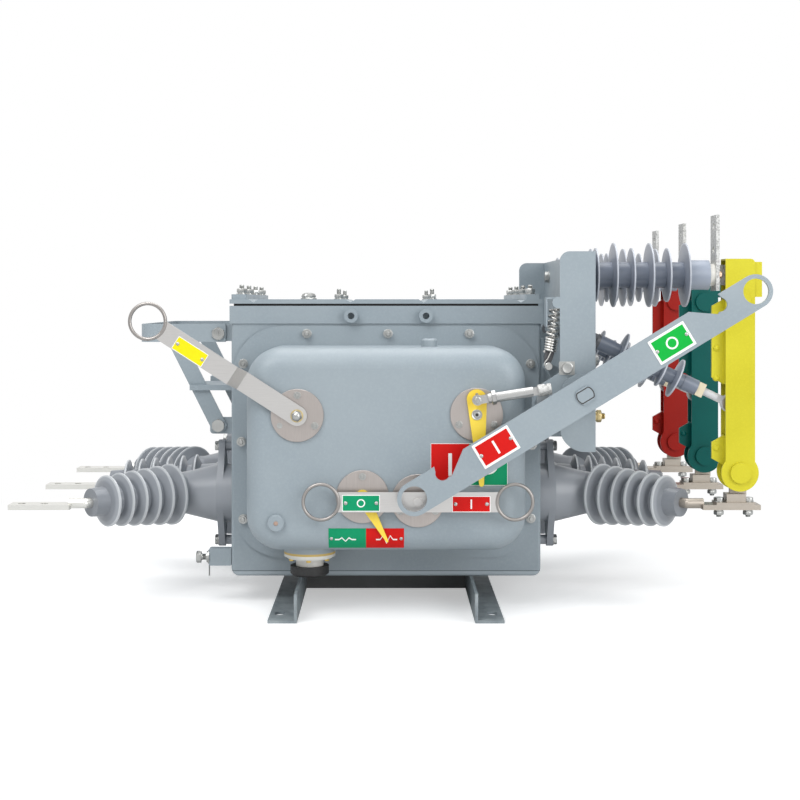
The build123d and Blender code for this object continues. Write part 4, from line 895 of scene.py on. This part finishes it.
# Interlock rod: a lock nut behind its left eye, a pale zinc sleeve round its right eye, and
# the washer and nut that keep it on the pointer's pin.
ROD_Y = -0.4250
ROD_PIN, ROD_END = (0.1540, 0.3810), (0.2650, 0.3980)
EYE_FACE = (0.1600, 0.3835)
ROD_FOOT = np.array((ROD_PIN[0], ROD_Y, ROD_PIN[1]))
ROD_WAY = np.array((ROD_END[0] - ROD_PIN[0], 0, ROD_END[1] - ROD_PIN[1]))
LOCK_NUT = [
    (0.0240, 0.0040, 1), (0.0240, 0.0098, 0.2), (0.0248, 0.0104, 1), (0.0310, 0.0104, 1),
    (0.0318, 0.0098, 0.2), (0.0318, 0.0040, 1),
]
SLEEVE = [
    (0.1030, 0.0060, 0), (0.1030, 0.0098, 0), (0.1036, 0.0102, 0), (0.1150, 0.0102, 0),
    (0.1150, 0.0086, 0), (0.1185, 0.0086, 0), (0.1185, 0.0097, 0), (0.1250, 0.0097, 0),
    (0.1256, 0.0090, 0), (0.1256, 0.0010, 0),
]
PIN_NUT = [
    (0.0, 0.0072, 0), (0.0010, 0.0072, 0), (0.0010, 0.0056, 1), (0.0046, 0.0056, 1),
    (0.0052, 0.0050, 0), (0.0052, 0.0030, 0), (0.0066, 0.0030, 0), (0.0066, 0.0003, 0),
]
eye_y = face_point("interlock_rod", *EYE_FACE)[1]
rod_items = [
    (*turned(LOCK_NUT, ROD_FOOT, ROD_WAY), rod_steel),
    (*turned(SLEEVE, ROD_FOOT, ROD_WAY), terminal_zinc),
    (*turned(PIN_NUT, (ROD_PIN[0], eye_y, ROD_PIN[1]), FRONT, 0.4), zinc),
]
assemble("rod_fittings", rod_items, "interlock_rod")

# Charge plate: a printed foil that follows the lower roll of the cover behind its pointer,
# green for released and red for charged, with a white zigzag for the spring, and two rivets.
CHARGE_LEFT, CHARGE_SPLIT, CHARGE_RIGHT = -0.0979, -0.0340, 0.0307
CHARGE_LOW, CHARGE_HIGH = 0.1252, 0.1609
FOIL_BACK, FOIL_FACE = -0.0002, 0.0004
INK_BACK, INK_FACE = 0.0002, 0.0007
ZIGZAG = np.array([
    (-0.018, 0), (-0.011, 0), (-0.006, 0.007), (0, -0.007), (0.006, 0.007), (0.011, 0), (0.018, 0),
])
ZIGZAG_Z, STROKE_HALF = 0.1415, 0.0012
FOIL_RIVETS_X, FOIL_RIVETS_Z, FOIL_RIVET_THREAD = (-0.0930, 0.0258), 0.1430, 0.0060
FOIL_RIVET_WAY, FOIL_RIVET_LIFT = (0, -1, -0.35), 0.0003


def draped(node, corners, columns, rows, low, high):
    """A closed film of columns x rows cells between four (x, z) corners a, b, c and d,
    counterclockwise from the lower left. The point at shares u and v lies at
    (1-u)(1-v) a + u(1-v) b + uv c + (1-u)v d, set down on the node by a ray along +Y and then
    raised by low for the back sheet and by high for the front sheet."""
    u, v = np.meshgrid(np.linspace(0, 1, columns + 1), np.linspace(0, 1, rows + 1))
    u, v = u.reshape(-1, 1), v.reshape(-1, 1)
    a, b, c, d = (np.array(corner, float) for corner in corners)
    flat = (1 - u) * (1 - v) * a + u * (1 - v) * b + u * v * c + (1 - u) * v * d
    sheet = np.array([face_point(node, x, z) for x, z in flat])
    points = np.concatenate([sheet - (0, high, 0), sheet - (0, low, 0)])
    wide, count = columns + 1, len(sheet)
    across, up = np.arange(columns), np.arange(rows)
    corner = (up[:, None] * wide + across).ravel()
    front = np.stack([corner, corner + 1, corner + wide + 1, corner + wide], axis=1)
    edge = np.concatenate([
        across, columns + wide * up, rows * wide + columns - across, wide * (rows - up)
    ])
    before = np.roll(edge, 1)
    rim = np.stack([before, before + count, edge + count, edge], axis=1)
    return points, np.concatenate([front, front[:, ::-1] + count, rim]).tolist()


charge_items = []
for left, right, material in (
    (CHARGE_LEFT, CHARGE_SPLIT, sign_green), (CHARGE_SPLIT, CHARGE_RIGHT, sign_red),
):
    corners = (
        (left, CHARGE_LOW), (right, CHARGE_LOW), (right, CHARGE_HIGH), (left, CHARGE_HIGH)
    )
    foil = draped("mechanism_cover", corners, 12, 14, FOIL_BACK, FOIL_FACE)
    charge_items.append((*foil, material))
for centre, height in ((0.0010, 1.0), (-0.0690, 0.45)):
    path = ZIGZAG * (1, height) + (centre, ZIGZAG_Z)
    for start, stop in zip(path[:-1], path[1:]):
        half = np.array((0, STROKE_HALF))
        corners = (start - half, stop - half, stop + half, start + half)
        stroke = draped("mechanism_cover", corners, 3, 2, INK_BACK, INK_FACE)
        charge_items.append((*stroke, sign_white))
for x in FOIL_RIVETS_X:
    foot = face_point("mechanism_cover", x, FOIL_RIVETS_Z) - (0, FOIL_RIVET_LIFT, 0)
    foil_rivet = turned(scaled(RIVET, FOIL_RIVET_THREAD), foot, FOIL_RIVET_WAY)
    charge_items.append((*foil_rivet, zinc))
assemble("charge_plate", charge_items, "root")

# Drain plug in the lower left of the cover: a copper-toned screw, let into the painted boss,
# with a hexagon socket in its face.
DRAIN_PLUG = (-0.1870, 0.1700)
PLUG_EYE = [
    (0.0, 0.0080, 0), (0.0006, 0.0078, 0), (0.0008, 0.0060, 0), (0.0003, 0.0054, 1),
    (0.0003, 0.0003, 1),
]
socket_copper = brushed("socket_copper", tone(206, 176, 160), 2, 0.4, 0.8, 240.0)
plug_eye = turned(PLUG_EYE, face_point("cover_plugs", *DRAIN_PLUG), FRONT)
assemble("plug_socket", [(*plug_eye, socket_copper)], "root")

# Toggle spring: a tension spring of round wire, open coils above and close ones below, hooked
# on the bracket's pin and pinned to the shaft's crank through a dark fork. Bright spring steel.
SPRING_TOP = np.array((0.2950, -0.3580, 0.5450))
SPRING_END = np.array((0.2800, -0.3580, 0.4350))
COIL_RADIUS, WIRE_RADIUS = 0.0092, 0.0022
OPEN_PITCH, CLOSE_PITCH = 0.0095, 0.0046
COIL_START, COIL_CHANGE, COIL_STOP = 0.0110, 0.0640, 0.0865
COIL_POINTS = 420
HOOK_RADIUS, HOOK_WIRE, LINK_WIRE = 0.0062, 0.0019, 0.0012
HOOK_START, HOOK_STOP, HOOK_POINTS = -0.25 * np.pi, 1.35 * np.pi, 26
NECK_DROP = 0.008
FORK_THICKNESS = 0.0030
FORK_OUTLINE = [
    (0.0830, -0.0085), (0.1000, -0.0078), (0.1090, -0.0062), (0.1150, -0.0030),
    (0.1150, 0.0010), (0.1070, 0.0030), (0.0990, 0.0060), (0.0830, 0.0085),
]
# The link's points are measured down the spring, to its side and to the front.
LINK_POINTS = np.array([
    (0.0860, 0.0010, 0.0065), (0.0980, -0.0025, 0.0060), (0.1040, -0.0060, 0.0050),
    (0.1110, -0.0072, 0.0050),
])


def swept(path, guide, radius, sides=12):
    """A round wire along a path of points p with unit tangents t, from a guide vector g at
    each point: n = g - (g . t) t made a unit vector, b = t x n, and the surface points are
    p + radius (n cos a + b sin a)."""
    guide = np.broadcast_to(np.array(guide, float), (len(path), 3))
    tangent = np.gradient(path, axis=0)
    tangent /= np.linalg.norm(tangent, axis=1, keepdims=True)
    normal = guide - (guide * tangent).sum(1, keepdims=True) * tangent
    normal /= np.linalg.norm(normal, axis=1, keepdims=True)
    binormal = np.cross(tangent, normal)
    angle = (np.arange(sides) / sides * 2 * np.pi)[None, :, None]
    circle = np.cos(angle) * normal[:, None] + np.sin(angle) * binormal[:, None]
    return (path[:, None] + radius * circle).reshape(-1, 3), band_faces(len(path), sides)


spring_steel = brushed("spring_wire", tone(220, 218, 214), 1, 0.28, 1.0, 240.0)
fork_metal = enamel("spring_fork", tone(84, 84, 86), tone(66, 66, 68), 0.42, 600.0)
spring_way = SPRING_END - SPRING_TOP
spring_way = spring_way / np.linalg.norm(spring_way)
spring_side = np.cross(spring_way, (0, 1, 0))
fall = np.linspace(COIL_START, COIL_STOP, COIL_POINTS)
turns = (
    (np.minimum(fall, COIL_CHANGE) - COIL_START) / OPEN_PITCH
    + np.maximum(fall - COIL_CHANGE, 0) / CLOSE_PITCH
)
outward = (
    np.cos(2 * np.pi * turns)[:, None] * spring_side
    + np.sin(2 * np.pi * turns)[:, None] * np.array((0, 1.0, 0))
)
coil_path = SPRING_TOP + fall[:, None] * spring_way + COIL_RADIUS * outward
bend = np.linspace(HOOK_START, HOOK_STOP, HOOK_POINTS)[:, None]
hook_path = SPRING_TOP - HOOK_RADIUS * (np.cos(bend) * spring_side + np.sin(bend) * spring_way)
neck_path = np.stack([hook_path[-1], SPRING_TOP + NECK_DROP * spring_way, coil_path[0]])
link_path = SPRING_TOP + LINK_POINTS @ np.array([spring_way, spring_side, FRONT])
fork_foot = SPRING_TOP + (0, FORK_THICKNESS / 2, 0)
spring_items = [
    (*swept(coil_path, outward, WIRE_RADIUS), spring_steel),
    (*swept(hook_path, (0, 1, 0), HOOK_WIRE), spring_steel),
    (*swept(neck_path, (0, 1, 0), HOOK_WIRE), spring_steel),
    (*slab(FORK_OUTLINE, FORK_THICKNESS, fork_foot, spring_way, FRONT), fork_metal),
    (*swept(link_path, (0, 1, 0), LINK_WIRE), spring_steel),
]
spring = assemble("toggle_spring_coil", spring_items, "toggle_spring")
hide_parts("toggle_spring")

# Spring bracket and lower pin: a bent strip welded under the frame's top carries the spring's
# upper end, and the pin of the shaft's crank holds its fork. Painted and zinc-plated steel.
BRACKET_FOOT, BRACKET_SIZE = (0.2890, -0.3610, 0.5510), (0.0280, 0.0320, 0.002)
STRIP_FOOT, STRIP_LENGTH = (0.2760, -0.3610, 0.5035), 0.0480
STRIP_OUTLINE = [(-0.001, -0.016), (0.001, -0.016), (0.001, 0.016), (-0.001, 0.016)]
PIN_FACE_Y = -0.3690
PIN_HEAD = [(0.0, 0.0068, 0), (0.0030, 0.0068, 0), (0.0036, 0.0060, 0), (0.0036, 0.0005, 0)]
bracket_items = [
    (*slab(rounded_box(*BRACKET_SIZE), 0.0030, BRACKET_FOOT, (1, 0, 0), UP), body_paint),
    (*slab(STRIP_OUTLINE, STRIP_LENGTH, STRIP_FOOT, (1, 0, 0), UP), body_paint),
]
assemble("spring_bracket", bracket_items, "root")
pin_foot = (SPRING_END[0], PIN_FACE_Y, SPRING_END[2])
pin_items = [(*turned(PIN_HEAD, pin_foot, FRONT), zinc)]
assemble("spring_pin_head", pin_items, "isolator_shaft")

# Knife cover rivets: domed plastic rivets in each cover's colour, pressed through the tabs of
# its left edge from both sides.
RIVET_SPOTS = ((0.587, 0.4637), (0.587, 0.4107), (0.587, 0.2864))
COVER_RIVET_THREAD = 0.0110
for phase in PHASES:
    rivet_items = []
    for side in (-1, 1):
        spots = [(x, PHASE_Y[phase] + side * RAY_START, z) for x, z in RIVET_SPOTS]
        rivet_items += fasten(
            f"knife_cover_{phase}", spots, (0, side, 0), RIVET, COVER_RIVET_THREAD,
            COVER_PLASTIC[phase],
        )
    assemble(f"cover_rivets_{phase}", rivet_items, f"knife_{phase}")

# Contact fastenings: hex heads over the lower contacts with nuts and thread ends under the
# bars, and the paired bolts that hold each upper terminal to its insulator's cap.
CONTACT_X, CONTACT_THREAD = (0.592, 0.644), 0.0095
CONTACT_ASIDE = (0.0, 0.0085, 0.0)
CAP_BOLT_X, CAP_BOLT_SPREAD, CAP_BOLT_THREAD = 0.5885, 0.014, 0.0062
copper_bolt = brushed("copper_bolt", tone(208, 176, 150), 2, 0.36, 0.9, 240.0)
contact_items = []
for phase in PHASES:
    y = PHASE_Y[phase]
    for x in CONTACT_X:
        for out, profile in ((UP, HEX_HEAD), (DOWN, stud(NUT, 0.5))):
            spot = (x, y, out[2] * RAY_START)
            contact_items += fasten(
                "lower_contacts", [spot], out, profile, CONTACT_THREAD, zinc, CONTACT_ASIDE
            )
    for side in (-1, 1):
        foot = (CAP_BOLT_X, y + side * CAP_BOLT_SPREAD, POST_Z)
        cap_bolt = turned(scaled(HEX_HEAD, CAP_BOLT_THREAD), foot, (1, 0, 0))
        contact_items.append((*cap_bolt, copper_bolt))
assemble("contact_bolts", contact_items, "root")

# Frame fastenings: the bolts of the three posts behind the web, a stop stud and a bolt on its
# right, and a bolt over a square washer through the front plate. Zinc-plated steel.
POST_BOLT_X, POST_BOLT_Z, POST_THREAD = 0.300, 0.600, 0.0120
STOP_SPOT, STOP_THREAD = (0.450, -0.362, 0.349), 0.0110
SIDE_SPOT, PLATE_THREAD = (0.450, -0.362, 0.446), 0.0100
SQUARE_WASHER, SQUARE_THICKNESS = (0.0270, 0.0230, 0.001), 0.0012
frame_items = []
for y in PHASE_Y.values():
    spot = (POST_BOLT_X, y, POST_BOLT_Z)
    frame_items += fasten("isolator_frame", [spot], (-1, 0, 0), HEX_HEAD, POST_THREAD, zinc)
for spot, profile, thread, metal in (
    (STOP_SPOT, stud(NUT, 0.60), STOP_THREAD, yellow_zinc),
    (SIDE_SPOT, HEX_HEAD, PLATE_THREAD, zinc),
):
    frame_items += fasten("isolator_frame", [spot], (1, 0, 0), profile, thread, metal)
front_spot = face_point("isolator_frame", 0.3096, 0.4327)
square = slab(rounded_box(*SQUARE_WASHER), SQUARE_THICKNESS, front_spot, (1, 0, 0), FRONT)
bolt_foot = front_spot - (0, SQUARE_THICKNESS, 0)
frame_items += [
    (*square, zinc), (*turned(scaled(HEX_HEAD, PLATE_THREAD), bolt_foot, FRONT, 0.5), zinc),
]
assemble("frame_bolts", frame_items, "root")

# Connector screws: six small brass screws from below, through the gold plate and into the
# flange round the connector's sleeve.
SCREW_CIRCLE, SCREW_THREAD = 0.0355, 0.0046
SCREW_TURNS = (30, 90, 150, 210, 270, 330)
brass = brushed("brass", tone(206, 176, 96), 2, 0.32, 1.0, 240.0)
connector_centre = ((socket_low.x + socket_high.x) / 2, (socket_low.y + socket_high.y) / 2)
screw_circle = around(connector_centre, SCREW_CIRCLE, SCREW_TURNS)
screw_spots = [(x, y, -RAY_START) for x, y in screw_circle]
screw_items = fasten("connector_socket", screw_spots, DOWN, HEX_HEAD, SCREW_THREAD, brass)
assemble("connector_screws", screw_items, "root")

# Earth terminal: a painted block round its lug, and the bolt that stands part way out of its
# end with its washers and a thin tab that hangs down. Zinc-plated steel.
RIDGES, RIDGE_START, RIDGE_STEP = 7, 0.0068, 0.0010
RIDGE_RADII = (0.0058, 0.0052)
EARTH_BOLT = [
    (0.0, 0.0125, 0), (0.0024, 0.0125, 0), (0.0026, 0.0102, 0), (0.0050, 0.0102, 0),
    (0.0050, 0.0054, 0),
    *((RIDGE_START + RIDGE_STEP * row, RIDGE_RADII[row % 2], 0) for row in range(RIDGES)),
    (0.0152, 0.0058, 0), (0.0152, 0.0096, 1), (0.0228, 0.0096, 1), (0.0238, 0.0094, 0.25),
    (0.0238, 0.0005, 0),
]
EARTH_FOOT = (-0.3205, -0.2290, 0.0830)
EARTH_BLOCK, BLOCK_DEPTH, BLOCK_FOOT = (0.0400, 0.0315, 0.002), 0.0180, (-0.3005, -0.2200, 0.0840)
TAB_OUTLINE = [(-0.0060, 0.0), (0.0060, 0.0), (0.0060, 0.0340), (-0.0060, 0.0340)]
TAB_THICKNESS = 0.0012
earth_items = [
    (*slab(rounded_box(*EARTH_BLOCK), BLOCK_DEPTH, BLOCK_FOOT, (1, 0, 0), FRONT), body_paint),
    (*turned(EARTH_BOLT, EARTH_FOOT, (-1, 0, 0)), zinc),
    (*slab(TAB_OUTLINE, TAB_THICKNESS, EARTH_FOOT, (0, 1, 0), (-1, 0, 0)), zinc),
]
assemble("earth_bolt", earth_items, "root")

# Lamps: three square soft boxes, the key at the upper left, one overhead and a low fill from
# the right, which lights the knives and the frame.


def lamp(name, place, aim, size, power):
    """Adds a square area lamp at place that faces aim."""
    data = bpy.data.lights.new(name, "AREA")
    data.shape = "SQUARE"
    data.size = size
    data.energy = power
    thing = bpy.data.objects.new(name, data)
    thing.location = place
    direction = Vector(aim) - Vector(place)
    thing.rotation_euler = direction.to_track_quat("-Z", "Y").to_euler()
    scene.collection.objects.link(thing)


lamp("key", (-1.6, -2.6, 3.2), (0, 0, 0.35), 2.2, 80)
lamp("top", (0.2, 0.2, 3.4), (0, 0, 0.4), 2.6, 66)
lamp("fill", (2.1, -2.7, 1.3), (0.2, 0, 0.35), 2.0, 42)
